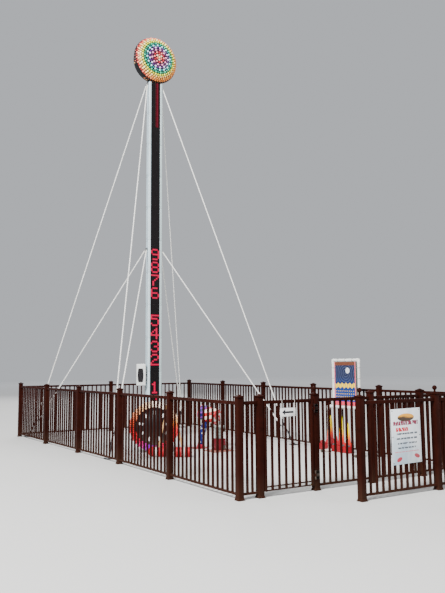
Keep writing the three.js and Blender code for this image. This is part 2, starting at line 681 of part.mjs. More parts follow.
// Hinge: two knuckles, a plate and the pin stay on the post, the middle knuckle is on the leaf.
function buildHinges() {
  const [plateStart, plateEnd] = HINGE_PLATE_REACH;
  const plateDepth = [LEAF_FRONT - SEAT - HINGE_PLATE_THICKNESS, LEAF_FRONT - SEAT];
  for (const [level, height] of Object.entries(HINGE_HEIGHTS)) {
    const hinge = new THREE.Group();
    hinge.position.set(HINGE_X, HINGE_Y, height);
    court.add(hinge);
    const half = KNUCKLE_LENGTH / 2;
    const outer = half + KNUCKLE_GAP + KNUCKLE_LENGTH;
    addPiece(`gate_hinge_${level}`, joined([
      upright(KNUCKLE_RADIUS, half + KNUCKLE_GAP, outer, 16),
      upright(KNUCKLE_RADIUS, -outer, -half - KNUCKLE_GAP, 16),
      upright(PIN_RADIUS, -outer + 1, outer - 1, 16),
      block([0, plateEnd], plateDepth, [half + KNUCKLE_GAP, outer]),
      block([0, plateEnd], plateDepth, [-outer, -half - KNUCKLE_GAP]),
      block([plateStart, plateEnd], plateDepth, [-outer, outer]),
    ]), darkSteel(), hinge);
  }
}

// Gate leaf, drawn from the hinge axis towards -X, with the latch tongue on its far stile.
function buildGate() {
  const gate = new THREE.Group();
  gate.position.set(HINGE_X, HINGE_Y, 0);
  court.add(gate);
  const clear = HINGE_POST_X - LATCH_POST_X - POST;
  const near = -LEAF_SIDE_GAP / 2;
  const far = near - (clear - 2 * LEAF_SIDE_GAP);
  const front = LEAF_FRONT;
  const back = front + LEAF_THICKNESS;
  const middle = (front + back) / 2;
  const halfPicket = PICKET / 2;
  const pieces = [
    block([near - LEAF_STILE, near], [front, back], [LEAF_LOW_BARS[0], FENCE_TOP]),
    block([far, far + LEAF_STILE], [front, back], [LEAF_LOW_BARS[0], FENCE_TOP]),
    block([far + 1, near - 1], [front, back], [FENCE_TOP - RAIL, FENCE_TOP]),
  ];
  for (const bottom of LEAF_LOW_BARS) {
    pieces.push(block([far + 1, near - 1], [middle - 8, middle + 8], [bottom, bottom + LEAF_LOW_BAR]));
  }
  const firstCentre = far + LEAF_STILE / 2;
  const lastCentre = near - LEAF_STILE / 2;
  for (let index = 1; index < LEAF_GAPS; index += 1) {
    const x = firstCentre + (lastCentre - firstCentre) * index / LEAF_GAPS;
    pieces.push(block([x - halfPicket, x + halfPicket], [middle - halfPicket, middle + halfPicket],
      [LEAF_LOW_BARS[0], FENCE_TOP - RAIL + 1]));
  }
  for (const height of Object.values(HINGE_HEIGHTS)) {
    const half = KNUCKLE_LENGTH / 2;
    const strap = joined([
      upright(KNUCKLE_RADIUS, height - half, height + half, 16),
      block([near - LEAF_STILE + 4, 0], [front - HINGE_PLATE_THICKNESS, front + 1],
        [height - half, height + half]),
    ]);
    pieces.push(cutBy(strap, [upright(KNUCKLE_BORE, height - half - 5, height + half + 5, 16)]));
  }
  pieces.push(block([far - 4, far + LEAF_STILE - 2],
    [middle - LATCH_HALF_DEPTH, middle + LATCH_HALF_DEPTH], LATCH_Z));
  addPiece('gate_leaf', joined(pieces), fencePaint(), gate);
  const signBack = middle - halfPicket - SEAT;
  addPiece('gate_sign', block(SIGN_X, [signBack - SIGN_THICKNESS, signBack], SIGN_Z),
    material(0xeef0f0, 0.5, 0), gate);
}

// Keeper on the latch post: a stop plate behind the tongue, open towards the lane.
function buildKeeper() {
  const face = LATCH_POST_X + POST / 2 + SEAT;
  const y = HINGE_Y + LEAF_FRONT + LEAF_THICKNESS / 2;
  addPiece('gate_keeper', block([face, face + KEEPER_THICKNESS],
    [y + KEEPER_REACH[0], y + KEEPER_REACH[1]], KEEPER_Z), darkSteel(), court);
}

// Board tied to the outer face of the lane fence.
function buildLaneBoard() {
  const y = LANE_Y - PICKET / 2 - SEAT;
  const [width, height] = LANE_BOARD_SIZE;
  const [centreX, centreZ] = LANE_BOARD_CENTRE;
  const board = block([-width / 2, width / 2], [y - SIGN_THICKNESS, y], [-height / 2, height / 2])
    .rotateY(-LANE_BOARD_TURN).translate(centreX, 0, centreZ);
  addPiece('lane_board', board, material(0xe9e9ea, 0.5, 0), court);
}

buildColumn();
buildHead();
buildGuys();
buildLoudspeaker();
buildPedestal();
buildLampBoard();
buildShowMallet();
buildMallets();
buildRack();
buildFlameBoard();
buildCourtFence();
buildLaneFence();
buildHinges();
buildGate();
buildKeeper();
buildLaneBoard();

export default machine;
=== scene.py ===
from math import asin, atan2, cos, pi, radians, sin, tau
import bmesh
import bpy
from mathutils import Matrix, Vector


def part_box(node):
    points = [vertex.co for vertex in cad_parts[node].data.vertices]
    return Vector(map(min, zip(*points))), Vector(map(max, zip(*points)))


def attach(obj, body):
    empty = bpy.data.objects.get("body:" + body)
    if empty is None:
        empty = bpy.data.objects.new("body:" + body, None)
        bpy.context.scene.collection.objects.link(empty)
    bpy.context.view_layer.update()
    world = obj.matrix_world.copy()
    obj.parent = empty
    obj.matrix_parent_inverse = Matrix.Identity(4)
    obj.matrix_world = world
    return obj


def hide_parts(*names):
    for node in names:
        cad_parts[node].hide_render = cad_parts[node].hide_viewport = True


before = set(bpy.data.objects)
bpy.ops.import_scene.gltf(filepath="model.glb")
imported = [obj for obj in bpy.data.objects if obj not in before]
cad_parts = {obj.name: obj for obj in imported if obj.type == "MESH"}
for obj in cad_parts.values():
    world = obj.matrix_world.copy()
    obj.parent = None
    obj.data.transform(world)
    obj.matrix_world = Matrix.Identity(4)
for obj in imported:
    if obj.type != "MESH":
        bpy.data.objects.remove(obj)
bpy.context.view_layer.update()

# ----------------------------------------
# Camera. It stands where the photograph was taken: outside the lane, a little left of the gate,
# at eye height, with the head of the tower near the top of an upright frame.
eye = (-6.11, -12.504, 1.5)
heading, tilt, roll = (radians(angle) for angle in (32.035, 6.023, -0.383))
focal_pixels, frame_height, film_height = 661.8, 593, 36
quarter = pi / 2


def spun(turn, axis="Z"):
    return Matrix.Rotation(turn, 4, axis)


def at(x, y, z=0.0, turn=0.0, axis="Z"):
    """A place, turned about one axis."""
    return Matrix.Translation((x, y, z)) @ spun(turn, axis)


def stand(name, data):
    """A new object in the scene."""
    made = bpy.data.objects.new(name, data)
    bpy.context.scene.collection.objects.link(made)
    return made


camera = stand("photo_camera", bpy.data.cameras.new("photo_camera"))
camera.data.sensor_fit = "VERTICAL"
camera.data.sensor_height = film_height
camera.data.lens = film_height * focal_pixels / frame_height
camera.data.clip_end = 200
camera.matrix_world = at(*eye, -heading) @ spun(quarter + tilt, "X") @ spun(roll)
bpy.context.scene.camera = camera

# ----------------------------------------
# Column foot. A heavy steel plate with two gussets behind the housing, held down by six anchor
# bolts with washers. Dull galvanised steel, rusty round the bolts.


def maths(operation):
    """An operator on two values that adds one Math node."""
    return lambda one, other: one.finish.node("Math", {"operation": operation}, {0: one, 1: other})


class Socket:
    """A value that varies over a surface; arithmetic on it adds the Math nodes."""

    def __init__(self, finish, socket):
        self.finish, self.socket = finish, socket

    __add__ = __radd__ = maths("ADD")
    __mul__ = __rmul__ = maths("MULTIPLY")
    __sub__, __truediv__ = maths("SUBTRACT"), maths("DIVIDE")
    __mod__, __pow__ = maths("FLOORED_MODULO"), maths("POWER")
    __lt__, __gt__ = maths("LESS_THAN"), maths("GREATER_THAN")
    bearing = maths("ARCTAN2")

    def __rsub__(self, other):
        return self.finish.node("Math", {"operation": "SUBTRACT"}, {0: other, 1: self})

    def __abs__(self):
        return self.finish.node("Math", {"operation": "ABSOLUTE"}, {0: self})

    def clear_of(self, low, high):
        """0 below low, 1 above high, straight between them."""
        return self.finish.node("MapRange", {"clamp": True}, {0: self, 1: low, 2: high, 3: 0, 4: 1})


class Finish:
    """A surface finish. What is the same all over is set on the shader's own sockets."""

    def __init__(self, name, **constants):
        self.material = bpy.data.materials.new(name)
        self.material.use_nodes = True
        self.tree = self.material.node_tree
        self.lay(**constants)
        self.place = self.node("TexCoord", out="Object")

    def lay(self, **sockets):
        shader = self.tree.nodes["Principled BSDF"]
        for socket, value in sockets.items():
            self.feed(shader.inputs[socket.replace("_", " ")], value)
        return self.material

    def feed(self, socket, value):
        if isinstance(value, Socket):
            self.tree.links.new(value.socket, socket)
        elif isinstance(value, tuple) and socket.type == "RGBA":
            socket.default_value = (*value, 1)
        else:
            socket.default_value = value

    def node(self, kind, settings=None, sockets=None, out=0):
        made = self.tree.nodes.new("ShaderNode" + kind)
        for key, value in (settings or {}).items():
            setattr(made, key, value)
        for key, value in (sockets or {}).items():
            self.feed(made.inputs[key], value)
        return Socket(self, made.outputs[out])

    def ramp(self, value, stops, blend="LINEAR"):
        """Colours along a value, from (position, colour) stops."""
        made = self.node("ValToRGB", None, {0: value})
        ramp = made.socket.node.color_ramp
        ramp.interpolation = blend
        ramp.elements[0].position, ramp.elements[1].position = stops[0][0], stops[-1][0]
        for position, _ in stops[1:-1]:
            ramp.elements.new(position)
        for element, (_, colour) in zip(ramp.elements, stops):
            element.color = (*colour, 1)
        return made

    def axis(self, name, place=None):
        return self.node("SeparateXYZ", None, {0: place or self.place}, out=name)

    def noise(self, scale, detail=3.0, roughness=0.55, place=None):
        return self.node("TexNoise", None, {
            "Vector": place or self.place, "Scale": scale, "Detail": detail, "Roughness": roughness})

    def turned(self, location=(0, 0, 0), rotation=(0, 0, 0), scale=(1, 1, 1)):
        """Object coordinates moved into a piece's own directions."""
        return self.node("Mapping", {"vector_type": "TEXTURE"}, {
            "Vector": self.place, "Location": location, "Rotation": rotation, "Scale": scale})

    def grained(self, colour, grain, spread, smooth, depth, strength):
        """Lays a colour on a surface whose gloss and skin follow one grain."""
        return self.lay(Base_Color=colour, Roughness=grain * spread + smooth,
                        Normal=self.bump(grain, depth, strength))

    def mix(self, amount, first, second):
        return self.node("Mix", {"data_type": "RGBA"}, {0: amount, 6: first, 7: second}, out=2)

    def bump(self, height, distance, strength=1.0):
        return self.node("Bump", None, {"Height": height, "Distance": distance, "Strength": strength})


def tint(*levels):
    """A colour read as 0 to 255, in the linear numbers that the shader wants."""
    return tuple(level / 255 / 12.92 if level <= 10 else ((level / 255 + 0.055) / 1.055) ** 2.4 for level in levels)


def bare_steel(name, colour, roughness, rust=0.3):
    """Galvanised steel: spangled, dulled in patches, with a little rust that comes through."""
    steel = Finish(name, Metallic=0.85)
    facets = steel.axis("X", steel.node("TexVoronoi", None, {"Vector": steel.place, "Scale": 70.0}, out="Color"))
    patches = steel.noise(6.0, 5)
    rusty = steel.noise(19.0, 6, 0.7).clear_of(0.66 - 0.12 * rust, 0.76)
    metal = steel.mix(facets * 0.35 + patches * 0.4, colour, tuple(level * 0.55 for level in colour))
    return steel.lay(
        Base_Color=steel.mix(rusty * rust, metal, tint(112, 62, 34)),
        Roughness=patches * 0.3 + facets * 0.12 + (roughness - 0.18),
        Normal=steel.bump(steel.noise(160.0, 3) + rusty * 0.5, 0.0006, 0.6))


class Piece:
    """One piece, put together from loose parts that are each set in place on its base."""

    def __init__(self, name, base=Matrix()):
        self.name, self.base, self.form = name, base, bmesh.new()

    def add(self, part, *places, finish=0):
        for place in places or (Matrix(),):
            verts, faces = len(self.form.verts), len(self.form.faces)
            self.form.from_mesh(part)
            self.form.verts.ensure_lookup_table()
            self.form.faces.ensure_lookup_table()
            bmesh.ops.transform(self.form, matrix=self.base @ place, verts=self.form.verts[verts:])
            for face in self.form.faces[faces:]:
                face.material_index = finish

    def done(self, *finishes, replaces=(), body="court_and_tower", slot=None, smooth=29):
        mesh = keep(self.form)
        mesh.name = self.name
        mesh.shade_smooth()
        mesh.set_sharp_from_angle(angle=radians(smooth))
        for finish in finishes:
            mesh.materials.append(finish)
        made = stand(self.name, mesh)
        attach(made, body)
        if replaces:
            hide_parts(*replaces)


def keep(form, outwards=False):
    """The finished mesh of a form, with its faces turned outwards if asked."""
    if outwards:
        bmesh.ops.recalc_face_normals(form, faces=form.faces[:])
    part = bpy.data.meshes.new("part")
    form.to_mesh(part)
    form.free()
    return part


def ease(form, edges, width, steps=1):
    """Rounds edges off."""
    bmesh.ops.bevel(form, geom=edges, offset=width, offset_type="OFFSET", affect="EDGES",
                    segments=steps, profile=0.5, material=-1)


def block(x, y, z, edge=0.0, steps=1):
    """A block with eased edges. Each side is (from, to), or half its width where it is centred."""
    sides = [sorted(side) if isinstance(side, tuple) else (-side, side) for side in (x, y, z)]
    form = bmesh.new()
    bmesh.ops.create_cube(form, size=1.0, matrix=Matrix.Translation([(low + high) / 2 for low, high in sides])
                          @ Matrix.Diagonal([high - low for low, high in sides] + [1.0]))
    if edge:
        ease(form, form.edges[:], edge, steps)
    return keep(form)


def lathe(form, geom, sides, rise=0.0, merge=True):
    """One whole turn round the Z axis."""
    bmesh.ops.spin(form, geom=geom, cent=(0, 0, 0), axis=(0, 0, 1), dvec=(0, 0, rise),
                   angle=tau, steps=sides, use_merge=merge)


def spun_form(profile, sides):
    """An open turned form from (radius, height) points."""
    form = bmesh.new()
    verts = [form.verts.new((radius, 0, height)) for radius, height in profile]
    lathe(form, verts + [form.edges.new(pair) for pair in zip(verts, verts[1:])], sides)
    bmesh.ops.remove_doubles(form, verts=form.verts[:], dist=1e-5)
    return form


def turned(profile, sides=24, ring=False):
    """A turned part from (radius, height) points: closed on its axis, or a hollow ring."""
    (first, low), (last, high) = profile[0], profile[-1]
    if ring:
        profile = [*profile, (first, low)]
    else:
        profile = [(0, low)] * (first > 0) + profile + [(0, high)] * (last > 0)
    return keep(spun_form(profile, sides), outwards=True)


def rod(radius, length, sides=12, edge=0.0):
    """A round bar that stands on the origin."""
    if edge:
        return turned([(radius - edge, 0), (radius, edge), (radius, length - edge), (radius - edge, length)], sides)
    return turned([(radius, 0), (radius, length)], sides)


def along(start, end):
    """The place of a standing part that is laid from start towards end."""
    start, end = Vector(start), Vector(end)
    return Matrix.Translation(start) @ (end - start).to_track_quat("Z", "Y").to_matrix().to_4x4()


def bolt(radius):
    """A hexagon head on a washer."""
    form = bmesh.new()
    for sides, foot, top, tall, middle in ((6, 1, 1, 1.1, 0.75), (14, 1.6, 1.5, 0.3, 0.15)):
        bmesh.ops.create_cone(form, cap_ends=True, segments=sides, radius1=radius * foot, radius2=radius * top,
                              depth=radius * tall, matrix=at(0, 0, radius * middle))
    return keep(form)


galvanised = bare_steel("galvanised_steel", tint(132, 136, 138), 0.5)
bolt_steel = bare_steel("bolt_steel", tint(168, 170, 170), 0.4, rust=0.15)

foot = Piece("column_foot_plate")
foot.add(block(0.38, 0.28, (0, 0.016), 0.003))
for side in (-1, 1):
    foot.add(block(0.006, (0.0505, 0.125), (0.015, 0.206), 0.002), at(side * 0.11, 0))
    foot.add(bolt(0.017), *(at(side * 0.32, y, 0.016) for y in (-0.21, 0, 0.21)), finish=1)
foot.done(galvanised, bolt_steel, replaces=["column_foot"], slot="dark_steel")

# ----------------------------------------
# Column housing. A pale painted sheet-steel cabinet that is stacked from 0.69 m lengths with
# open joints between them; the back has screwed access doors, louvres and a cable conduit.
column_half, column_depth, column_low, column_top = 0.155, 0.05, 0.0163, 7.62
panels = 11
panel_pitch = (column_top - column_low) / panels
bottoms = [column_low + panel * panel_pitch for panel in range(panels)]


def painted(name, colour, worn, roughness, dust=0.4, skin=0.0005, gloss=0.5):
    """Paint on steel: broad fading, dust low down, a fine orange-peel skin, small scuffs."""
    paint = Finish(name, Coat_Roughness=0.18, Coat_Weight=gloss * 0.44, Specular_IOR_Level=gloss)
    patches, blotches = paint.noise(1.3, 5, 0.62), paint.noise(9.0, 4, 0.6)
    scuffs = paint.noise(46.0, 5, 0.72).clear_of(0.67, 0.74)
    dusty = (1 - paint.axis("Z").clear_of(0.02, 0.42)) * blotches * dust
    faded = paint.mix((patches * 0.6 + blotches * 0.4).clear_of(0.38, 0.68), colour, worn)
    scuffed = paint.mix(scuffs * 0.35, faded, tuple(level * 0.5 + 0.08 for level in colour))
    return paint.lay(
        Base_Color=paint.mix(dusty, scuffed, tint(168, 156, 138)),
        Roughness=patches * 0.16 + scuffs * 0.2 + dusty * 0.5 + (roughness - 0.08),
        Normal=paint.bump(paint.noise(210.0, 2) * 0.6 + blotches + scuffs * -0.4, skin, 0.5))


cabinet_white = painted("cabinet_white_paint", tint(180, 196, 204), tint(156, 174, 182), 0.38, gloss=0.35)
shadow_gap = painted("joint_shadow_paint", tint(48, 52, 54), tint(38, 41, 43), 0.6, gloss=0.2)

housing = Piece("column_cabinet")
housing.add(block(column_half - 0.006, (0.003 - column_depth, column_depth - 0.006),
                  (column_low, column_top - 0.006)), finish=1)
door = block(0.12, (0, 0.004), (0.06, panel_pitch - 0.06), 0.0018)
louvre = block(0.07, (0, 0.006), (0, 0.009), 0.0025)
for panel, bottom in enumerate(bottoms):
    housing.add(block(column_half, (-column_depth, column_depth - 0.004),
                      (bottom + 0.0015, bottom + panel_pitch - 0.0015), 0.003))
    housing.add(door, at(0, column_depth - 0.0045, bottom))
    housing.add(bolt(0.006), *(at(x, column_depth - 0.0005, bottom + z, -quarter, "X")
                               for x in (-0.105, 0.105) for z in (0.08, panel_pitch - 0.08)), finish=2)
    housing.add(bolt(0.005), *(
        at(side * column_half, y, bottom + z, side * quarter, "Y")
        for side in (-1, 1) for y in (-0.034, 0.034) for z in (0.03, panel_pitch - 0.03)), finish=2)
    if panel % 2 == 0:
        housing.add(louvre, *(at(0, column_depth - 0.0015, bottom + 0.22 + 0.024 * row) for row in range(8)))
conduit_x, conduit_y = 0.136, column_depth + 0.006
housing.add(rod(0.009, 3.45, 14), at(conduit_x, conduit_y, 0.3), finish=3)
housing.add(block(0.016, (column_depth - 0.004, column_depth + 0.018), (3.72, 3.84), 0.004),
            at(conduit_x, 0), finish=3)
housing.add(block(0.017, (-0.01, 0.012), 0.008, 0.002), *(
    at(conduit_x, conduit_y, 0.5 + 0.62 * row) for row in range(6)), finish=2)
housing.done(cabinet_white, shadow_gap, bolt_steel, galvanised,
             replaces=["column_housing"], slot="column_white")

# ----------------------------------------
# Display. A black dot-matrix face up the front of the column, in 0.3 m modules. Plain figures from
# 0 at the foot to 9 are lit in crimson, five dots wide, and a dim red bar is lit at the top.
display_half, display_front, display_back = 0.108, -0.0723, -0.0503
display_low, display_top = 0.33, 7.62
module_height, dot_pitch, bead_pitch = 0.3, 0.0125, 0.0101


def beads(across, up, low, high):
    """Round dots, one in the middle of each unit cell."""
    across, up = across % 1.0 - 0.5, up % 1.0 - 0.5
    return 1 - (across * across + up * up).clear_of(low, high)


face = Finish("display_face", Specular_IOR_Level=0.12)
dots = beads(face.axis("X") / dot_pitch, face.axis("Z") / dot_pitch, 0.05, 0.1)
joint = (face.axis("Z") - display_low) / module_height % 1.0 < 0.012
display_face = face.lay(
    Base_Color=face.mix(dots * 0.7, face.mix(joint, tint(15, 16, 17), tint(3, 3, 4)), tint(30, 10, 13)),
    Roughness=face.noise(5.0, 4) * 0.2 + dots * 0.12 + 0.36,
    Normal=face.bump(dots - joint * 2.0, 0.0012, 0.7))

display = Piece("display_matrix")
display.add(block(display_half, (display_front + 0.002, display_back), (display_low, display_top), 0.002))
for side in (-1, 1):
    display.add(block(0.0035, (display_front, display_front + 0.004), (display_low, display_top), 0.001),
                at(side * 0.1045, 0), finish=1)
display.add(block(display_half, (display_front, display_back), (display_low - 0.02, display_low), 0.002), finish=1)
display.done(display_face, shadow_gap, replaces=["display_panel"], slot="display_black")

lit = Finish("lit_number_tile", Roughness=0.45, Emission_Strength=1.25, Specular_IOR_Level=0.1)
glowing = beads(lit.axis("X") / bead_pitch, lit.axis("Z") / bead_pitch, 0.04, 0.2)
number_glow = lit.mix(glowing * 0.75 + lit.noise(7.0) * 0.25, tint(176, 0, 50), tint(255, 10, 92))
lit_number = lit.lay(Base_Color=tint(90, 2, 18), Emission_Color=number_glow,
                     Normal=lit.bump(glowing, 0.001, 0.6))

figures = (
    "01110 10001 10011 10101 11001 10001 01110", "00100 01100 00100 00100 00100 00100 01110",
    "01110 10001 00001 00110 01000 10000 11111", "01110 10001 00001 00110 00001 10001 01110",
    "00010 00110 01010 10010 11111 00010 00010", "11111 10000 11110 00001 00001 10001 01110",
    "01110 10000 10000 11110 10001 10001 01110", "11111 00001 00010 00100 01000 01000 01000",
    "01110 10001 10001 01110 10001 10001 01110", "01110 10001 10001 01111 00001 00001 01110")
tile_up, tile_across = 0.034, 0.0398
figure_top, figure_pitch, group_pitch = 3.972, 0.272, 1.39
tile = block(0.0188, (-0.003, 0.001), 0.0165, 0.0012)
scale_numbers = Piece("lit_scale_numbers", at(0, display_front + 0.002))
for number, figure in enumerate(reversed(figures)):
    top = figure_top - group_pitch * (number // 4) - figure_pitch * (number % 4)
    for row, cells in enumerate(figure.split()):
        scale_numbers.add(tile, *(at((column - 2) * tile_across, 0, top - (row + 0.5) * tile_up)
                                  for column, cell in enumerate(cells) if cell == "1"))
scale_numbers.done(lit_number, slot="display_black")

bar = Finish("dim_lit_bar", Roughness=0.5, Emission_Strength=0.3, Specular_IOR_Level=0.1)
bar_x = 0.036
core = 1 - abs(bar.axis("X") - bar_x).clear_of(0.004, 0.02)
steps = bar.axis("Z") / 0.021 % 1.0 < 0.12
bar_glow = bar.mix(core, tint(104, 2, 10), tint(232, 40, 92))
dim_bar = bar.lay(Base_Color=tint(34, 3, 6), Emission_Color=bar.mix(steps * 0.6, bar_glow, tint(36, 2, 8)),
                  Normal=bar.bump(steps, -0.001, 0.6))
score_bar = Piece("lit_score_bar", at(bar_x, display_front + 0.002, 6.625))
score_bar.add(block(0.043, (-0.004, 0.001), (0.002, 0.1223), 0.002), *(at(0, 0, 0.1243 * row) for row in range(8)))
score_bar.done(dim_bar, slot="display_black")

# ----------------------------------------
# Light strips. Opal acrylic channels that stand proud of the display on both sides, lit white
# from inside; they come in lengths with a hairline joint between them.
strip_inner, strip_outer, strip_front, strip_back = 0.1083, 0.155, -0.0843, -0.0503

opal = Finish("lit_opal_strip", Roughness=0.3, Emission_Strength=0.36, Coat_Weight=0.1, Coat_Roughness=0.12)
lamps = abs(opal.axis("Z") / 0.0888 % 1.0 - 0.5)
# Painted shade: the right-hand strip (x above 0) gets a greyer colour and a dimmer glow than the left one, for the
# side away from the light.
right_strip_painted_shade = (opal.axis("X") > 0) * 0.6
strip_glow = opal.mix(lamps * 0.5 + opal.noise(3.0) * 0.25, tint(232, 250, 255), tint(196, 220, 228))
lit_opal = opal.lay(Base_Color=opal.mix(right_strip_painted_shade, tint(182, 198, 204), tint(140, 154, 150)),
                    Emission_Color=opal.mix(right_strip_painted_shade, strip_glow, tint(120, 140, 138)),
                    Normal=opal.bump(opal.noise(90.0), 0.0004, 0.4))

for name, side in (("left", -1), ("right", 1)):
    strip = Piece(f"lit_strip_{name}")
    strip.add(block((side * (strip_inner + 0.004), side * (strip_outer - 0.004)),
                    (strip_front + 0.006, strip_back), (column_low, column_top)), finish=1)
    for bottom in bottoms:
        strip.add(block((side * strip_inner, side * strip_outer), (strip_front, strip_back),
                        (bottom + 0.001, bottom + panel_pitch - 0.001), 0.008, 3))
    strip.done(lit_opal, cabinet_white, replaces=[f"light_strip_{name}"], slot="light_strip", smooth=40)

# ----------------------------------------
# Head. A shallow black dome whose face is covered with rings of lamp caps, one colour to a ring,
# on a shallow black drum with a rolled edge, a bolted back and a saddle on the column's top.
head_z, rim_y, rim_radius, bulge, rim_width = 8.13, -0.02, 0.5, 0.205, 0.036
shell_inset, side_caps = 0.014, 52
head_place = at(0, rim_y, head_z, quarter, "X")

satin_black = painted("satin_black_paint", tint(13, 13, 15), tint(21, 21, 23), 0.46, dust=0.3, gloss=0.22)


def flat(share):
    """Pressed flatter along its own height."""
    return Matrix.Scale(share, 4, (0, 0, 1))


def around(count, shift=0.0, first=0, pitch=1):
    """Places spun evenly round the Z axis."""
    return [spun(tau * (step + shift) / count) for step in range(first, count, pitch)]


shell = Piece("head_shell", head_place)
shell.add(turned([(0, bulge + rim_width - shell_inset)] + [
    ((rim_radius - 0.012) * sin(step / 24 * pi), rim_width + (bulge - shell_inset) * cos(step / 24 * pi))
    for step in range(1, 13)] + [(rim_radius - 0.002, rim_width - 0.004), (rim_radius, rim_width - 0.008),
                                 (rim_radius, 0.005), (rim_radius - 0.005, 0)], 72))
shell.add(bolt(0.006), *(
    turn @ at(rim_radius - 0.001, 0, 0.016, quarter, "Y") @ flat(0.12) for turn in around(24)), finish=1)
shell.done(satin_black, bolt_steel, replaces=["head_dome"], slot="lamp_lens", smooth=35)

ring_starts = (0.0, 0.028, 0.084, 0.140, 0.195, 0.249, 0.300, 0.348, 0.392, 0.431, 0.464)
ring_radii = (0.056, 0.112, 0.168, 0.222, 0.275, 0.325, 0.371, 0.413, 0.449, 0.479)
# Each ring's colour is given twice: a paler copy as painted highlight and a deeper copy as painted shade.
ring_colours = {
    "head_caps_painted_lit": (
        (255, 214, 150), (255, 216, 180), (255, 130, 130), (240, 150, 190), (226, 206, 246), (176, 232, 236),
        (0, 196, 140), (244, 232, 90), (255, 240, 176), (255, 210, 140), (255, 116, 96)),
    "head_caps_painted_shade": (
        (255, 170, 120), (240, 90, 70), (170, 4, 40), (84, 4, 70), (76, 16, 96), (0, 108, 116),
        (0, 116, 84), (190, 196, 24), (250, 206, 80), (236, 120, 70), (170, 12, 26))}
lamp_caps = []
for name, colours in ring_colours.items():  # a painted-lit and a painted-shade copy of each ring's colours for alternate caps, both turning gold at the lower right
    lens = Finish(name, Roughness=0.34, Emission_Strength=0.34, Coat_Weight=0.2, Coat_Roughness=0.25)
    height = lens.axis("Z") - head_z
    outwards = (lens.axis("X") ** 2 + height * height) ** 0.5
    ringed = lens.ramp(outwards / rim_radius, [
        (start / rim_radius, tint(*colour)) for start, colour in zip(ring_starts, colours)], "CONSTANT")
    gold = (lens.axis("X") * 1.4 - height * 1.1).clear_of(-0.1, 0.5) * (outwards > 0.40)
    glow = lens.mix(gold * 0.75, ringed, tint(214, 130, 14))
    lamp_caps.append(lens.lay(
        Base_Color=glow, Emission_Color=lens.mix(lens.noise(16.0) * 0.4, glow, tint(20, 10, 10))))


def lamp_cap(radius, height):
    """A low faceted lens on a plain skirt."""
    form = spun_form([(radius, 0), (radius, height * 0.35), (radius * 0.62, height * 0.86), (0, height)], 9)
    bmesh.ops.contextual_create(form, geom=[edge for edge in form.edges if edge.is_boundary])
    return keep(form, outwards=True)


head_lamps = Piece("head_lamps", head_place)
cap, cap_seat = lamp_cap(0.0218, 0.02), at(0, 0, -0.018)
head_lamps.add(cap, at(0, 0, bulge + rim_width - 0.017))
for ring, radius in enumerate(ring_radii, 1):
    slope = asin(radius / rim_radius)
    lean = atan2(sin(slope) / rim_radius, cos(slope) / bulge)
    seat = at(radius, 0, rim_width + bulge * cos(slope), lean, "Y") @ cap_seat
    # Alternate caps take the painted-shade copy of the colours, the others the painted-lit copy.
    for shaded_copy in (0, 1):
        head_lamps.add(cap, *(turn @ seat for turn in around(
            2 * round(pi * radius / 0.0555), 0.5 * (ring % 2), shaded_copy, 2)), finish=shaded_copy)
for row, (radius, back) in enumerate(((0.4799, 0.018), (0.4385, -0.026), (0.4385, -0.078))):
    turns = around(side_caps, 0.5 * (row % 2))
    # The side rows alternate the same painted-lit and painted-shade copies.
    for shaded_copy in (0, 1):
        head_lamps.add(cap, *(turns[step] @ at(radius, 0, back, quarter, "Y")
                              for step in range(shaded_copy, side_caps, 2) if not 28 < step < 35), finish=shaded_copy)
head_lamps.done(*lamp_caps, slot="lamp_lens", smooth=20)

drum = Piece("head_drum_case")
drum.add(turned([(0.434, -0.0003), (0.44, -0.006), (0.44, -0.146), (0.436, -0.156),
                 (0.426, -0.16), (0.405, -0.16), (0.4, -0.154)], 64), head_place)
drum.add(bolt(0.008), *(
    at(0.416 * cos(a), rim_y + 0.16, head_z + 0.416 * sin(a), -quarter, "X") @ flat(0.7)
    for a in (tau * step / 16 for step in range(16))), finish=1)
drum.add(block(0.13, (rim_y + 0.145, rim_y + 0.158), (head_z - 0.2, head_z + 0.12), 0.003))
drum.add(louvre, *(at(0, rim_y + 0.156, head_z - 0.13 + 0.026 * row) for row in range(8)))
drum.done(satin_black, bolt_steel, replaces=["head_drum"], slot="black_paint", smooth=35)

low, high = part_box("head_saddle")
saddle = Piece("head_saddle_block", at(0, 0, low.z))
saddle.add(block((low.x, high.x), (low.y, high.y), (0, 0.012), 0.002))
for side in (-1, 1):
    saddle.add(block(0.016, (low.y + 0.004, high.y - 0.004), (0.01, 0.084), 0.003), at(side * 0.136, 0))
    saddle.add(bolt(0.008), at(side * 0.1, high.y - 0.017, 0.012), at(side * 0.1, low.y + 0.017, 0.012), finish=1)
saddle.add(block(0.08, (low.y + 0.004, high.y - 0.004), (0.01, 0.066), 0.003))
saddle.done(satin_black, bolt_steel, replaces=["head_saddle"], slot="black_paint")

# ----------------------------------------
# Yokes. Flat steel collars round the back and the sides of the column that the guys pull on, at
# two heights. They are bolted to the cabinet and have welded eyes on both sides for the ropes.
yoke_side, yoke_back, yoke_thick, yoke_front = 0.1553, 0.0503, 0.012, -0.038
yoke_levels = {"upper": 7.585, "lower": 3.97}
corners = {"front_left": (-1, -1), "front_right": (1, -1), "rear_left": (-1, 1), "rear_right": (1, 1)}
anchor_feet = {"front_left": (-1.815, -2.1), "front_right": (1.87, -2.3),
               "rear_left": (-1.93, 2.2), "rear_right": (1.9, 2.2)}


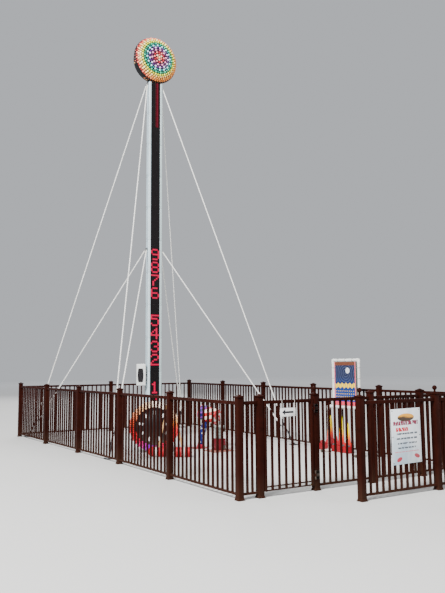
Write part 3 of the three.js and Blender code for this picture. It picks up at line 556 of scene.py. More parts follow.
def anchor_points(corner):
    """The foot of an anchor, its upper eye, the shackle's root and the lower eye."""
    base = Vector((*anchor_feet[corner], 0))
    aim = (Vector((corners[corner][0] * 0.19, 0, 5.6)) - base).normalized()
    ring = base + aim * (0.4 / aim.z)
    root = ring - aim * (0.04 / aim.z)
    return base, ring, root, root - Vector((base.x, base.y, 0)).normalized() * 0.075


def rope_ends(corner, level):
    """The anchor's eye, the yoke's ear and the direction from one to the other, for one rope."""
    side, end = corners[corner]
    eye_point = anchor_points(corner)[1 if level == "upper" else 3]
    ear = Vector((side * (yoke_side + 0.017), end * 0.02, yoke_levels[level]))
    return eye_point, ear, (ear - eye_point).normalized()


def torus(radius, thickness, sides=16, facets=8):
    """A welded ring that lies flat on the origin."""
    form = bmesh.new()
    bmesh.ops.create_circle(form, segments=facets, radius=thickness, matrix=at(radius, 0, 0, quarter, "X"))
    lathe(form, form.verts[:] + form.edges[:], sides)
    return keep(form, outwards=True)


upright = spun(quarter, "X")
for level, height in yoke_levels.items():
    yoke = Piece(f"guy_yoke_bar_{level}", at(0, 0, height))
    yoke.add(block(yoke_side + yoke_thick, (yoke_back, yoke_back + yoke_thick), 0.023, 0.003, 2))
    for side in (-1, 1):
        yoke.add(block((side * yoke_side, side * (yoke_side + yoke_thick)),
                       (yoke_front, yoke_back + 0.004), 0.023, 0.003, 2))
    yoke.add(bolt(0.009), *(at(x, yoke_back + yoke_thick, 0, -quarter, "X") for x in (-0.12, -0.06, 0.06, 0.12)),
             finish=1)
    yoke.base = Matrix()
    for corner in corners:
        eye_point, ear, run = rope_ends(corner, level)
        yoke.add(rod(0.0075, 0.03, 10, 0.001), along(ear, ear - run), finish=1)
        yoke.add(torus(0.0115, 0.0038), along(ear - run * 0.031, ear - run) @ upright, finish=1)
    yoke.done(galvanised, bolt_steel, replaces=[f"guy_yoke_{level}"], slot="dark_steel")

# ----------------------------------------
# Guys. Eight taut ropes of white three-strand laid polyester. Each is whipped at its top end; at
# the anchor it goes round a thimble on a short steel hook and is tied off in a thick hitch.
lay_length, strand_radius, strand_offset, lay_steps = 0.115, 0.0062, 0.0056, 9
end_gap, rope_root, hitch_turns = 0.0443, 0.042, 6


def laid_rope(length):
    """Three twisted strands from the origin upwards: one lay is spun, then laid end on end and closed."""
    lay = bmesh.new()
    for turn in around(3):
        made = bmesh.ops.create_circle(lay, segments=6, radius=strand_radius, matrix=turn @ at(strand_offset, 0))
        loop = made["verts"] + [edge for edge in lay.edges if edge.verts[0] in made["verts"]]
        lathe(lay, loop, lay_steps, rise=lay_length / lay_steps, merge=False)
    lays = round(length / lay_length)
    whole = Piece("rope")
    whole.add(keep(lay), *(at(0, 0, lay_length * number) for number in range(lays)))
    form = whole.form
    bmesh.ops.remove_doubles(form, verts=form.verts[:], dist=0.0003)
    bmesh.ops.contextual_create(form, geom=[edge for edge in form.edges if edge.is_boundary])
    bmesh.ops.scale(form, vec=(1, 1, length / (lays * lay_length)), verts=form.verts[:])
    return keep(form, outwards=True)


rope = Finish("white_laid_rope", Coat_Weight=0.0, Specular_IOR_Level=0.25)
fibres, grime = rope.noise(320.0, 2), rope.noise(5.0, 4, 0.7)
white_rope = rope.grained(
    rope.mix(fibres * 0.4 + grime.clear_of(0.5, 0.8) * 0.5, tint(252, 251, 248), tint(206, 202, 190)),
    fibres, 0.1, 0.8, 0.0012, 0.8)
cord = Finish("whipping_cord", Specular_IOR_Level=0.2)
turns = cord.noise(120.0, 2)
whipping = cord.grained(cord.mix(turns, tint(238, 236, 228), tint(206, 202, 192)), turns, 0.1, 0.75, 0.001, 0.7)
blackened_steel = bare_steel("blackened_steel", tint(62, 64, 67), 0.5, rust=0.5)

for corner in corners:
    for level in yoke_levels:
        eye_point, ear, run = rope_ends(corner, level)
        low, high = eye_point + run * end_gap, ear - run * end_gap
        length = (high - low).length
        line = Piece(f"guy_line_{level}_{corner}", along(low, high))
        line.add(rod(0.0045, 0.03, 8), finish=2)
        line.add(torus(0.0085, 0.003, 14, 6), at(0, 0, 0.036) @ upright, finish=2)
        line.add(laid_rope(length - rope_root), at(0, 0, rope_root))
        line.add(turned([(0.0105, 0), (0.012, 0.004), (0.012, 0.12), (0.0105, 0.124)], 14),
                 at(0, 0, length - 0.126), finish=1)
        line.add(torus(0.0105, 0.0058, 14, 6), *(
            at(0, 0, 0.056 + 0.0095 * turn, 0.12 * (-1) ** turn, "X") for turn in range(hitch_turns)))
        line.done(white_rope, whipping, blackened_steel, replaces=[f"guy_rope_{level}_{corner}"], slot="rope_white")

# ----------------------------------------
# Ground anchors. A round bar driven through a small base plate towards the yoke, with a forged
# eye at its top and a shackle below it. Blackened steel, rusty at the ground.


def four(x, y):
    """The corners of a rectangle about the origin."""
    return [(left * x, near * y) for left in (-1, 1) for near in (-1, 1)]


for corner in corners:
    base, ring, root, low_eye = anchor_points(corner)
    anchor = Piece(f"ground_anchor_{corner}")
    anchor.add(block(0.075, 0.075, (0, 0.012), 0.002), at(*base))
    anchor.add(bolt(0.009), *(at(*base) @ at(x, y, 0.012) for x, y in four(0.055, 0.055)), finish=1)
    aim = (ring - base).normalized()
    start = base + aim * (0.007 / aim.z)
    anchor.add(rod(0.013, (ring - start).length - 0.018, 14, 0.001), along(start, ring))
    anchor.add(turned([(0.02, -0.008), (0.026, 0), (0.02, 0.012)], 16), at(*(base + aim * 0.026)))
    for level in yoke_levels:
        eye_point, ear, run = rope_ends(corner, level)
        anchor.add(torus(0.0165, 0.006, 18, 8), along(eye_point, ear) @ upright)
        anchor.add(rod(0.0065, 0.028, 10), along(eye_point + run * 0.016, ear))
    anchor.add(rod(0.0085, (root - low_eye).length - 0.02, 12), along(root, low_eye))
    anchor.done(blackened_steel, bolt_steel, replaces=[f"guy_anchor_{corner}"], slot="dark_steel")

# ----------------------------------------
# Loudspeaker. A white moulded cabinet with rounded edges beside the column, turned to the left on
# a white bracket: a black perforated barrel-shaped grille on its front, a carrying recess in its side.
speaker_spot, speaker_turn, hole_pitch, speaker_front = (-0.278, -0.012, 0), -0.42, 0.0075, -0.075
speaker_place = at(*speaker_spot, speaker_turn)
cabinet_plastic = painted("loudspeaker_white", tint(226, 228, 226), tint(206, 208, 204), 0.5, skin=0.0009)
grille = Finish("loudspeaker_grille", Metallic=0.3, Specular_IOR_Level=0.3)
holes = beads(grille.axis("X", grille.turned(speaker_spot, (0, 0, speaker_turn))) / hole_pitch,
              grille.axis("Z") / hole_pitch, 0.05, 0.11)
black_grille = grille.grained(grille.mix(holes, tint(38, 35, 37), tint(6, 6, 7)), holes, 0.3, 0.45, -0.0015, 0.7)


def thicken(form, vec):
    """Pulls the one face of a form out along a vector."""
    pulled = bmesh.ops.extrude_face_region(form, geom=form.faces[:])
    bmesh.ops.translate(form, vec=vec, verts=[v for v in pulled["geom"] if isinstance(v, bmesh.types.BMVert)])


speaker = Piece("loudspeaker_case")
speaker.add(block(0.095, (speaker_front + 0.003, 0.075), (1.12, 1.56), 0.02, 4), speaker_place)
barrel = bmesh.new()
bmesh.ops.create_circle(barrel, cap_ends=True, segments=40, radius=1.0)
bmesh.ops.transform(barrel, matrix=Matrix.Diagonal((0.06, 0.2, 1, 1)), verts=barrel.verts[:])
for side in (-1, 1):
    bmesh.ops.bisect_plane(barrel, geom=barrel.verts[:] + barrel.edges[:] + barrel.faces[:], clear_outer=True,
                           plane_co=(0, side * 0.139, 0), plane_no=(0, side, 0))
thicken(barrel, (0, 0, 0.004))
speaker.add(keep(barrel, outwards=True),
            speaker_place @ at(-0.012, speaker_front + 0.004, 1.329, quarter, "X"), finish=1)
speaker.add(block((0.06, 0.0955), 0.03, (1.27, 1.41), 0.008, 2), speaker_place, finish=2)
speaker.add(block((-0.215, -0.1553), (-0.02, 0.03), (1.18, 1.5), 0.004))
speaker.add(bolt(0.008), *(at(-0.172, -0.02, z, quarter, "X") for z in (1.22, 1.34, 1.46)), finish=3)
speaker.done(cabinet_plastic, black_grille, satin_black, galvanised, replaces=["loudspeaker"], slot="column_white")

# ----------------------------------------
# Striking pedestal. A thin red floor plate, a square red housing with a lid and a cable notch low
# on its right, and the thick rubber pad that the mallet hits, paler on its top than on its sides.
court_x = 0.05
pedestal = at(court_x + 0.15, -2.28)
red_enamel = painted("red_enamel", tint(150, 6, 26), tint(112, 4, 20), 0.42, dust=0.06, gloss=0.12)
trodden_enamel = painted("trodden_enamel", tint(124, 34, 36), tint(152, 84, 80), 0.5, dust=0.5, gloss=0.1)
crimson_enamel = painted("crimson_enamel", tint(106, 8, 28), tint(86, 8, 24), 0.34, dust=0.06, gloss=0.12)
plate = Piece("pedestal_plate", pedestal)
plate.add(block(0.21, 0.17, (0, 0.02), 0.004, 2))
plate.add(bolt(0.01), *(at(x, y, 0.012) @ flat(0.55) for x, y in four(0.18, 0.14)), finish=1)
plate.done(trodden_enamel, bolt_steel, replaces=["strike_plate"], slot="red_paint")

box = Piece("pedestal_box", pedestal)
box.add(block(0.0825, 0.0825, (0.0223, 0.2), 0.004, 2))
box.add(block(0.0815, 0.0815, (0.2, 0.2218), 0.003, 2))
box.add(block((0.028, 0.074), (-0.0832, -0.078), (0.03, 0.11), 0.002), finish=1)
box.add(bolt(0.004), *(at(x, -0.0815, z, quarter, "X") @ flat(0.2)
                       for x in (-0.068, 0.068) for z in (0.14, 0.185)), finish=2)
box.done(crimson_enamel, satin_black, bolt_steel, replaces=["strike_housing"], slot="red_paint")

rubber = Finish("pad_rubber_pale_top", Specular_IOR_Level=0.25)
pores = rubber.noise(60.0, 5, 0.7)
# The pad's rubber is paler on its top than on its sides.
pale_top = rubber.axis("Z").clear_of(0.425, 0.448)
rubber_pad = rubber.grained(
    rubber.mix(pale_top * 0.8, rubber.mix(pores, tint(70, 78, 76), tint(128, 136, 132)),
               rubber.mix(pores, tint(196, 202, 198), tint(140, 146, 142))), pores, 0.2, 0.65, 0.0012, 0.8)
rib, waist = 0.076, 0.071
pad = Piece("pedestal_pad", pedestal)
pad.add(turned([(0.072, 0.2226), (rib, 0.228)] + [
    point for bottom in (0.2595, 0.3095, 0.3595)
    for point in ((rib, bottom), (waist, bottom + 0.006), (waist, bottom + 0.012), (rib, bottom + 0.018))]
    + [(rib, 0.4), (0.088, 0.4), (0.092, 0.404), (0.092, 0.438), (0.0885, 0.446), (0.08, 0.4498)], 36))
pad.done(rubber_pad, replaces=["strike_pad"], slot="rubber_black", smooth=40)

# ----------------------------------------
# Round lamp board. A coned ring that is set with rows of coloured lamp caps, round a black
# pressed disc, on a flat post and a foot plate. Painted steel; the caps are lit.
board_x, board_y, board_z, board_turn = court_x - 0.9, -1.8, 0.458, -0.5
board_inner, board_nose, cone_lean = 0.325, 0.415, -0.19
board_stand = at(board_x, board_y, 0, board_turn)
board_place = board_stand @ at(0, 0, board_z, quarter, "X")

ring = Piece("lamp_board_rim", board_place)
ring.add(turned([(board_inner, -0.02), (board_inner, 0.03), (0.409, 0.0462), (0.413, 0.0444), (0.436, 0.016),
                 (0.437, 0.012), (0.437, -0.018), (0.435, -0.02)], 64, ring=True))
ring.done(satin_black, replaces=["lamp_board_ring"], slot="lamp_lens", smooth=35)

wheel = Finish("lamp_board_caps", Roughness=0.25, Emission_Strength=0.35, Coat_Weight=0.3, Coat_Roughness=0.08)
board_axes = wheel.turned((board_x, board_y, board_z), (0, 0, board_turn))
turn = wheel.axis("Z", board_axes).bearing(wheel.axis("X", board_axes)) / tau + 0.5
wheel_colours = wheel.ramp(turn, [(position, tint(*colour)) for position, colour in (
    (0.00, (170, 24, 12)), (0.04, (206, 6, 24)), (0.11, (196, 2, 36)), (0.15, (226, 10, 130)),
    (0.21, (140, 30, 200)), (0.27, (130, 6, 70)), (0.38, (226, 10, 40)), (0.48, (236, 40, 50)),
    (0.53, (255, 150, 60)), (0.58, (255, 226, 190)), (0.64, (252, 248, 244)), (0.76, (250, 236, 214)),
    (0.84, (255, 214, 160)), (0.91, (250, 150, 100)), (0.96, (196, 60, 26)))])
board_caps = wheel.lay(Base_Color=wheel_colours, Emission_Color=wheel.mix(
    wheel.noise(14.0) * 0.3, wheel_colours, tint(20, 10, 10)))
caps = Piece("lamp_board_lamps", board_place)
small_cap = lamp_cap(0.0165, 0.015)
for radius, depth, lean, count in ((0.3425, 0.0334, cone_lean, 62), (0.3725, 0.0391, cone_lean, 66),
                                   (0.4015, 0.0441, cone_lean, 72), (0.4255, 0.0303, 0.9, 76)):
    caps.add(small_cap, *(turn @ at(radius, 0, depth, lean, "Y") @ at(0, 0, -0.002) for turn in around(count)))
caps.done(board_caps, slot="lamp_lens", smooth=20)

disc = Piece("lamp_board_disc", board_stand)
disc.add(turned([(0.198, -0.0398), (0.2, -0.038), (0.2, -0.02), (0.3245, -0.02), (0.3245, 0.018),
                 (0.318, 0.0296), (0.304, 0.0296), (0.294, 0.02), (0.18, 0.02), (0.17, 0.026), (0.11, 0.026),
                 (0.1, 0.0296)], 64), at(0, 0, board_z, quarter, "X"))
disc.add(block(0.04, (0.0203, 0.06), (0, 0.608), 0.003, 2))
disc.add(block(0.24, (0.025, 0.225), (0, 0.014), 0.002))
disc.add(bolt(0.009), *(at(x, y, 0.014) for x in (-0.2, 0.2) for y in (0.06, 0.19)), finish=1)
# Painted highlights: the nine pale blocks on the face of the disc stand in for glints on its glossy black paint.
highlight_finish = Finish("board_painted_highlight_marks")
highlight_mottle = highlight_finish.noise(40.0, 4)
painted_highlight_marks = highlight_finish.lay(Base_Color=highlight_finish.mix(highlight_mottle, tint(232, 234, 232), tint(160, 162, 162)),
                           Roughness=highlight_mottle * 0.2 + 0.4)
disc.add(block(0.022, (-0.03, -0.0195), 0.036, 0.004), *(
    at(0, 0, board_z, -tau * step / 9, "Y") @ at(0, 0, 0.236) for step in range(9)), finish=2)
disc.done(satin_black, bolt_steel, painted_highlight_marks, replaces=["lamp_board_face"], slot="black_paint", smooth=35)

# ----------------------------------------
# Show mallet. An oversize display mallet that leans on a level foot disc: a fabric-covered handle,
# blue with white spots and a red sleeve at its foot, and a big drum head with a swirl on its ends.
show_x, show_y, show_turn, show_lean = court_x + 0.075, -1.7, -1.05, 0.25
head_shift, head_height, spot_pitch = 0.045, 0.65, 0.083
show_place = at(show_x, show_y, 0, show_turn) @ spun(show_lean, "Y")
show_frame = {"location": (show_x, show_y, 0), "rotation": (0, show_lean, show_turn)}

spotted = Finish("spotted_handle_cover", Specular_IOR_Level=0.35)
cover = spotted.turned(**show_frame)
height, row = spotted.axis("Z", cover), spotted.axis("Z", cover) / spot_pitch
stagger = (row % 2.0 > 1.0) * 0.5
cell_x = (spotted.axis("Y", cover).bearing(spotted.axis("X", cover)) / (tau / 5) + stagger + 8.0) % 1.0 - 0.5
cell_z = row % 1.0 - 0.5
spots = 1 - (cell_x * cell_x + cell_z * cell_z * 1.6).clear_of(0.04, 0.052)
weave = spotted.noise(420.0, 2)
handle_cover = spotted.lay(
    Base_Color=spotted.mix(height < 0.085, spotted.mix(spots, tint(8, 26, 104), tint(196, 202, 216)),
                           tint(176, 24, 60)),
    Roughness=weave * 0.12 + 0.55, Normal=spotted.bump(weave * 0.4 + spots * 0.5, 0.0012, 0.6))

handle = Piece("show_mallet_shaft", at(show_x, show_y))
handle.add(turned([(0.148, 0), (0.15, 0.003), (0.15, 0.011), (0.147, 0.014)], 40), finish=1)
handle.base = show_place
handle.add(turned([(0.0515, 0.0155), (0.052, 0.02), (0.052, 0.08), (0.0495, 0.084), (0.0495, 0.088),
                   (0.052, 0.092), (0.052, 0.504), (0.05, 0.508)], 28))
handle.done(handle_cover, red_enamel, replaces=["show_mallet_handle"], slot="mallet_blue", smooth=40)

fabric = Finish("show_mallet_head_cover", Coat_Weight=0.25, Coat_Roughness=0.2)
cover = fabric.turned(**show_frame)
across, near = fabric.axis("X", cover) - head_shift, fabric.axis("Y", cover)
tall = fabric.axis("Z", cover) - head_height
spin = tall.bearing(near) / tau
swirl = (spin * 4.0 + (near * near + tall * tall) ** 0.5 * 9.0 + 8.0) % 1.0 > 0.44
stripes = (spin * 9.0 + across * 5.0 + 20.0) % 1.0 > 0.65
bands = (tall * 7.5 - across * 3.5 + 8.2) % 1.0 > 0.5
side_colours = fabric.mix(
    across.clear_of(-0.05, -0.02), fabric.mix(stripes, tint(18, 14, 90), tint(120, 50, 160)),
    fabric.mix(bands, tint(196, 6, 22), tint(252, 228, 212)))
banded = fabric.mix(abs(across) > 0.16, side_colours, tint(190, 10, 34))
creases = fabric.noise(24.0, 4)
head_cover = fabric.grained(
    fabric.mix(abs(across) > 0.182, banded, fabric.mix(swirl, tint(240, 236, 234), tint(200, 10, 30))),
    creases, 0.2, 0.32, 0.002, 0.5)


def both_ends(profile, middle=()):
    """A profile given from its middle outwards, mirrored to its other end."""
    return [(radius, -height) for radius, height in reversed(profile)] + [*middle] + profile


show_head = Piece("show_mallet_drum", show_place)
show_head.add(turned(both_ends([
    (0.1375, 0.07), (0.14, 0.144), (0.1392, 0.149), (0.14, 0.154), (0.1385, 0.166), (0.134, 0.176), (0.122, 0.182),
    (0.1, 0.1838), (0, 0.1842)], [(0.137, 0)]), 48), at(head_shift, 0, head_height, quarter, "Y"))
show_head.add(turned([(0.0525, 0.5165), (0.066, 0.5165), (0.066, 0.535), (0.0525, 0.535)], 28, ring=True), finish=1)
show_head.done(head_cover, red_enamel, replaces=["show_mallet_head"], slot="mallet_stripe", smooth=50)

# ----------------------------------------
# Striking mallets. Two long-handled mallets stand on their heads and lean on the lamp board: red
# rubber heads with a white band, varnished ash handles with a taped grip and a round knob.
varnish = Finish("varnished_ash", Coat_Weight=0.4, Coat_Roughness=0.15)
grain = varnish.noise(9.0, 6, 0.7, varnish.turned(scale=(0.12, 0.12, 1.0)))
ash_handle = varnish.grained(varnish.mix(grain, tint(206, 164, 108), tint(154, 108, 62)),
                             grain, 0.15, 0.35, 0.0005, 0.5)
red_rubber = Finish("red_mallet_rubber", Specular_IOR_Level=0.35)
knocks = red_rubber.noise(26.0, 5, 0.7)
mallet_rubber = red_rubber.grained(red_rubber.mix(knocks.clear_of(0.4, 0.75), tint(186, 8, 26), tint(112, 8, 20)),
                                   knocks, 0.25, 0.42, 0.001, 0.6)
white_band = painted("mallet_band_white", tint(236, 234, 228), tint(206, 200, 192), 0.45)

mallet_head = turned([
    (0.062, -0.15), (0.074, -0.146), (0.08, -0.138), (0.082, -0.126), (0.082, -0.05), (0.082, -0.031), (0.08, -0.03),
    (0.08, 0.03), (0.082, 0.031), (0.082, 0.126), (0.08, 0.138), (0.074, 0.146), (0.062, 0.15)], 36)
for name, x, y, turn, ring_angle in (("left", -1.09, -2.33, -0.95, 1.0), ("right", -0.76, -2.6, -0.5, 0.25)):
    knob = board_place @ Vector((board_nose * cos(ring_angle), board_nose * sin(ring_angle), 0.0843))
    centre = Vector((court_x + x, y, 0.082))
    head_turn, shaft_lean = at(*centre, turn) @ spun(quarter, "Y"), along(centre, knob)
    reach = (knob - centre).length
    grip = reach * 0.72
    mallet = Piece(f"striking_mallet_{name}")
    mallet.add(mallet_head, head_turn)
    mallet.add(turned([(0.079, -0.029), (0.0812, -0.029), (0.082, -0.027), (0.082, 0.027), (0.0812, 0.029),
                       (0.079, 0.029)], 36, ring=True), head_turn, finish=1)
    mallet.add(turned([(0.0165, 0.05), (0.0165, 0.2), (0.0138, 0.32), (0.0135, grip), (0.0155, reach - 0.05),
                       (0.0175, reach - 0.028), (0.0235, reach - 0.012), (0.024, reach), (0.0225, reach + 0.01),
                       (0.016, reach + 0.019), (0, reach + 0.0238)], 20), shaft_lean, finish=2)
    mallet.add(turned([(0.0125, grip), (0.0155, grip + 0.002), (0.0168, reach - 0.07), (0.0125, reach - 0.068)],
                      20, ring=True), shaft_lean, finish=3)
    mallet.done(mallet_rubber, white_band, ash_handle, satin_black, replaces=[f"mallet_{name}"],
                slot="red_paint", smooth=50)

# ----------------------------------------
# Rack. White painted pipe: two legs on floor feet, a rail, and the taller frame that a poster is
# laced into. The pipes meet in elbow and tee fittings.
rack_x, pipe_radius, rail_z, frame_top = court_x + 1.7, 0.025, 0.79, 1.592
rack_legs, frame_posts, lace_heights = (-4.298, -3.453), (-4.238, -3.602), (0.93, 1.1, 1.28, 1.46)
pipe_white = painted("pipe_white_paint", tint(232, 232, 228), tint(208, 206, 198), 0.36)


def pipe(start, end, radius=pipe_radius - 0.0006):
    return rod(radius, (Vector(end) - Vector(start)).length, 20), along(start, end)


rack = Piece("rack_pipework", at(rack_x, 0))
for y in rack_legs:
    rack.add(*pipe((0, y, pipe_radius), (0, y, rail_z)))
    rack.add(*pipe((-0.188, y, pipe_radius), (0.023, y, pipe_radius)))
    rack.add(turned([(0.0225, 0), (0.025, 0.0025), (0.025, 0.018)], 20),
             *(along((end, y, pipe_radius), (0, y, pipe_radius)) for end in (-0.19, 0.025)), finish=1)
rack.add(*pipe((0, rack_legs[0], rail_z), (0, rack_legs[1], rail_z)))
for y in frame_posts:
    rack.add(*pipe((0, y, rail_z), (0, y, frame_top)))
rack.add(*pipe((0, frame_posts[0], frame_top), (0, frame_posts[1], frame_top)))
sleeve = turned(both_ends([(0.0278, 0.025), (0.0268, 0.027), (0.023, 0.027)]), 20, ring=True)
elbow = bmesh.new()
bmesh.ops.create_uvsphere(elbow, u_segments=20, v_segments=12, radius=0.0272)
elbow = keep(elbow)
for posts, z, drop in ((rack_legs, rail_z, 0), (frame_posts, frame_top, 0.0022)):
    for y, inwards in zip(posts, (1, -1)):
        rack.add(elbow, at(0, y, z - drop))
        rack.add(sleeve, at(0, y, z - 0.032), at(0, y + inwards * 0.03, z, quarter, "X") @ flat(0.5))
for y in frame_posts:
    rack.add(sleeve, at(0, y, rail_z + 0.05), at(0, y, rail_z, quarter, "X"))
for y in rack_legs:
    rack.add(sleeve, at(0, y, 0.0278, quarter, "Y") @ Matrix.Scale(0.98, 4))
lace = torus(pipe_radius + 0.0015, 0.002, 18, 6)
rack.add(lace, *(at(0, y, z) for y in frame_posts for z in lace_heights),
         *(at(0, y, frame_top, quarter, "X") for y in (-4.1, -3.92, -3.74)), finish=1)
rack.done(pipe_white, satin_black, replaces=["poster_frame"], slot="column_white", smooth=40)

print_ink = Finish("printed_poster", Coat_Weight=0.35, Coat_Roughness=0.2)
u, v = (print_ink.axis("Y") + 3.92) / 0.58, (print_ink.axis("Z") - 1.191) / 0.745
waves = print_ink.noise(5.0, 2)
ripple = ((u * u + (v - 0.24) * (v - 0.24) * 1.6) ** 0.5) * 13.0 + waves
peaks = v - abs((u * 6.0) % 1.0 - 0.5) * 0.09
dot_u, dot_v = (u * 11.0) % 1.0 - 0.5, (v * 15.0) % 1.0 - 0.5
picture = print_ink.mix((v + waves * 0.2).clear_of(-0.2, 0.25), tint(0, 58, 140), tint(2, 16, 58))
for mask, colour in (
        ((ripple % 1.0 > 0.6) * (v > 0.04) * 0.5, tint(80, 90, 120)),
        ((u + 0.08) ** 2 + (v - 0.3) * (v - 0.3) * 1.6 < 0.007, tint(226, 226, 236)),
        ((peaks > -0.115) * (peaks < -0.02),
         print_ink.mix((u * 12.0) % 1.0 > 0.5, tint(240, 176, 0), tint(236, 220, 70))),
        ((dot_u * dot_u + dot_v * dot_v < 0.05) * (v < -0.16), tint(206, 170, 60)),
        (v < -0.41, tint(226, 60, 84)), (v > 0.42, tint(104, 54, 30)),
        (abs(u - 0.04) > 0.425, tint(240, 110, 120)), (u < -0.415, tint(70, 78, 72))):
    picture = print_ink.mix(mask, picture, colour)
poster_print = print_ink.grained(picture, waves, 0.15, 0.3, 0.002, 0.4)
poster = Piece("laced_poster", at(rack_x, 0))
poster.add(block(0.004, (-4.2095, -3.6305), (0.8185, 1.5635), 0.0015))
poster.add(torus(0.008, 0.0016, 14, 6), *(
    at(-0.0042, y, z, quarter, "Y") for y in (-4.196, -3.644) for z in lace_heights), finish=1)
poster.done(poster_print, bolt_steel, replaces=["poster_board"], slot="poster_print")

# ----------------------------------------
# Flame board. A thick plywood cut-out with rounded edges, airbrushed from yellow tips to a red
# foot; it stands in a slot in a boxed red plinth and is held by angle cleats.
flame_x, flame_y, flame_thick = court_x + 1.808, -3.08, 0.024
outline = (
    (0, 100), (0, 150), (60, 175), (110, 140), (152, 155), (188, 250), (208, 380), (246, 500),
    (292, 618), (320, 510), (326, 370), (334, 240), (366, 145), (400, 170), (430, 270), (452, 195),
    (480, 150), (506, 260), (520, 410), (544, 540), (570, 632), (592, 520), (600, 370), (612, 220),
    (642, 142), (668, 180), (688, 300), (708, 420), (742, 515), (760, 410), (768, 290), (778, 190),
    (800, 135), (800, 100))
cutout = bmesh.new()
cutout.faces.new([cutout.verts.new((0, -distance / 1000, height / 1000)) for distance, height in outline])
thicken(cutout, (flame_thick, 0, 0))
bmesh.ops.recalc_face_normals(cutout, faces=cutout.faces[:])
ease(cutout, [edge for edge in cutout.edges if abs(edge.verts[0].co.x - edge.verts[1].co.x) < 1e-6], 0.004, 2)
airbrush = Finish("airbrushed_flames", Coat_Weight=0.3, Coat_Roughness=0.2)
licks = airbrush.noise(7.0, 4, 0.6, airbrush.turned(scale=(1, 1, 2.6)))
near_end = (-3.6 - airbrush.axis("Y")).clear_of(0.0, 0.12)
flame_colours = airbrush.ramp((airbrush.axis("Z") + (licks - 0.5) * 0.2 + near_end * 0.09) / 0.62, [
    (0.0, tint(120, 0, 22)), (0.36, tint(176, 6, 26)), (0.5, tint(244, 60, 4)), (0.62, tint(255, 170, 0)),
    (0.72, tint(255, 214, 10)), (1.0, tint(255, 232, 40))])
flame_finish = airbrush.grained(flame_colours, licks, 0.2, 0.32, 0.002, 0.4)
flame = Piece("flame_cutout", at(flame_x, flame_y))
flame.add(keep(cutout))
flame.add(block((-0.048, 0.072), (-0.8, 0), (0, 0.108), 0.004, 2), finish=1)
flame.add(block((-0.044, 0.068), (-0.792, -0.008), (0.1075, 0.11), 0.0008), finish=1)
for y in (-0.12, -0.37, -0.62, -0.76):
    flame.add(block((-0.0115, 0.0005), 0.02, (0.108, 0.135), 0.0015), at(0, y), finish=2)
    flame.add(block((-0.038, -0.002), 0.02, (0.1095, 0.1125), 0.001), at(0, y), finish=2)
    flame.add(bolt(0.005), at(-0.025, y, 0.1125), finish=2)
flame.done(flame_finish, red_enamel, galvanised, replaces=["flame_board"], slot="flame_paint")

# ----------------------------------------
# Court and lane fences. Welded steel bays with square pickets under a square rail; the posts have
# a floor shoe and a capped top, some with a ball. Dark brown gloss paint, chipped and dusty low.
post_half, rail_half, fence_top, ball_radius = 0.0375, 0.02, 1.1, 0.029
picket_half, weld, close_pitch, wide_pitch = 0.0125, 0.001, 0.098, 0.108
brown = Finish("fence_brown_gloss", Specular_IOR_Level=0.03)
broad, fine = brown.noise(0.9, 4), brown.noise(11.0, 5, 0.65)
chips = brown.noise(58.0, 5, 0.75).clear_of(0.7, 0.74)
dusty = (1 - brown.axis("Z").clear_of(0.0, 0.3)) * fine * 0.55
rain = brown.noise(14.0, 3, 0.6, brown.turned(scale=(1, 1, 9))).clear_of(0.5, 0.8)
tone = brown.mix((broad * 0.5 + fine * 0.5).clear_of(0.35, 0.7), tint(46, 15, 9), tint(26, 8, 5))
tone = brown.mix(rain * 0.25, tone, tint(60, 28, 18))
fence_brown = brown.lay(
    Base_Color=brown.mix(dusty, brown.mix(chips * 0.4, tone, tint(72, 42, 30)), tint(78, 58, 44)),
    Roughness=fine * 0.2 + dusty * 0.3 + 0.4,
    Normal=brown.bump(brown.noise(150.0, 2) * 0.5 + fine + chips * -0.6, 0.0005, 0.6))

pyramid = bmesh.new()
bmesh.ops.create_cone(pyramid, cap_ends=True, segments=4, radius1=0.053, radius2=0.01, depth=0.019,
                      matrix=at(0, 0, 1.1695, pi / 4))
ease(pyramid, pyramid.edges[:], 0.0015)
ball = turned([(0.03, 1.157), (0.03, 1.164), (0.02, 1.168), (0.0135, 1.174), (0.012, 1.196)] + [
    (ball_radius * sin(radians(angle)), 1.223 - ball_radius * cos(radians(angle)))
    for angle in range(28, 180, 19)] + [(0, 1.252)], 20)
post_parts = [
    block(post_half, post_half, (0, 1.145), 0.005, 2), block(0.045, 0.045, (0, 0.01), 0.0025),
    block(0.0415, 0.0415, (0, 0.026), 0.003), block(0.0455, 0.0455, (1.143, 1.161), 0.004, 2)]
post_tops = {False: keep(pyramid), True: ball}
picket = block(picket_half, picket_half, (0.075, 1.061), 0.002)


def fence_bay(name, x, y, turn, length, pitch, ball_top=False, last_post=False, turning=False):
    """One bay: its first post, the rails with their end collars, the pickets, and a last post if any."""
    start = post_half - weld
    stop = length - post_half + (weld if last_post else -0.0003 - 0.0008 * turning)
    bay = Piece(name, at(court_x + x, y, 0, turn))
    for spot in (0, length) if last_post else (0,):
        for part in (*post_parts, post_tops[ball_top]):
            bay.add(part, at(spot, 0))
    bay.add(block((start, stop), rail_half, (1.06, fence_top), 0.005, 3))
    bay.add(block((start, stop), 0.015, (0.05, 0.076), 0.003))
    for low, high, half in ((1.053, 1.104, 0.0265), (0.044, 0.082, 0.021)):
        for side in (start + 0.001, stop - 0.009):
            bay.add(block((side, side + 0.0085), half, (low, high), 0.002))
    spaces = round((stop - start) / pitch)
    bay.add(picket, *(at(start + number * (stop - start) / spaces, 0) for number in range(1, spaces)))
    bay.done(fence_brown, replaces=[name.replace("_bay", "")], slot="fence_paint")


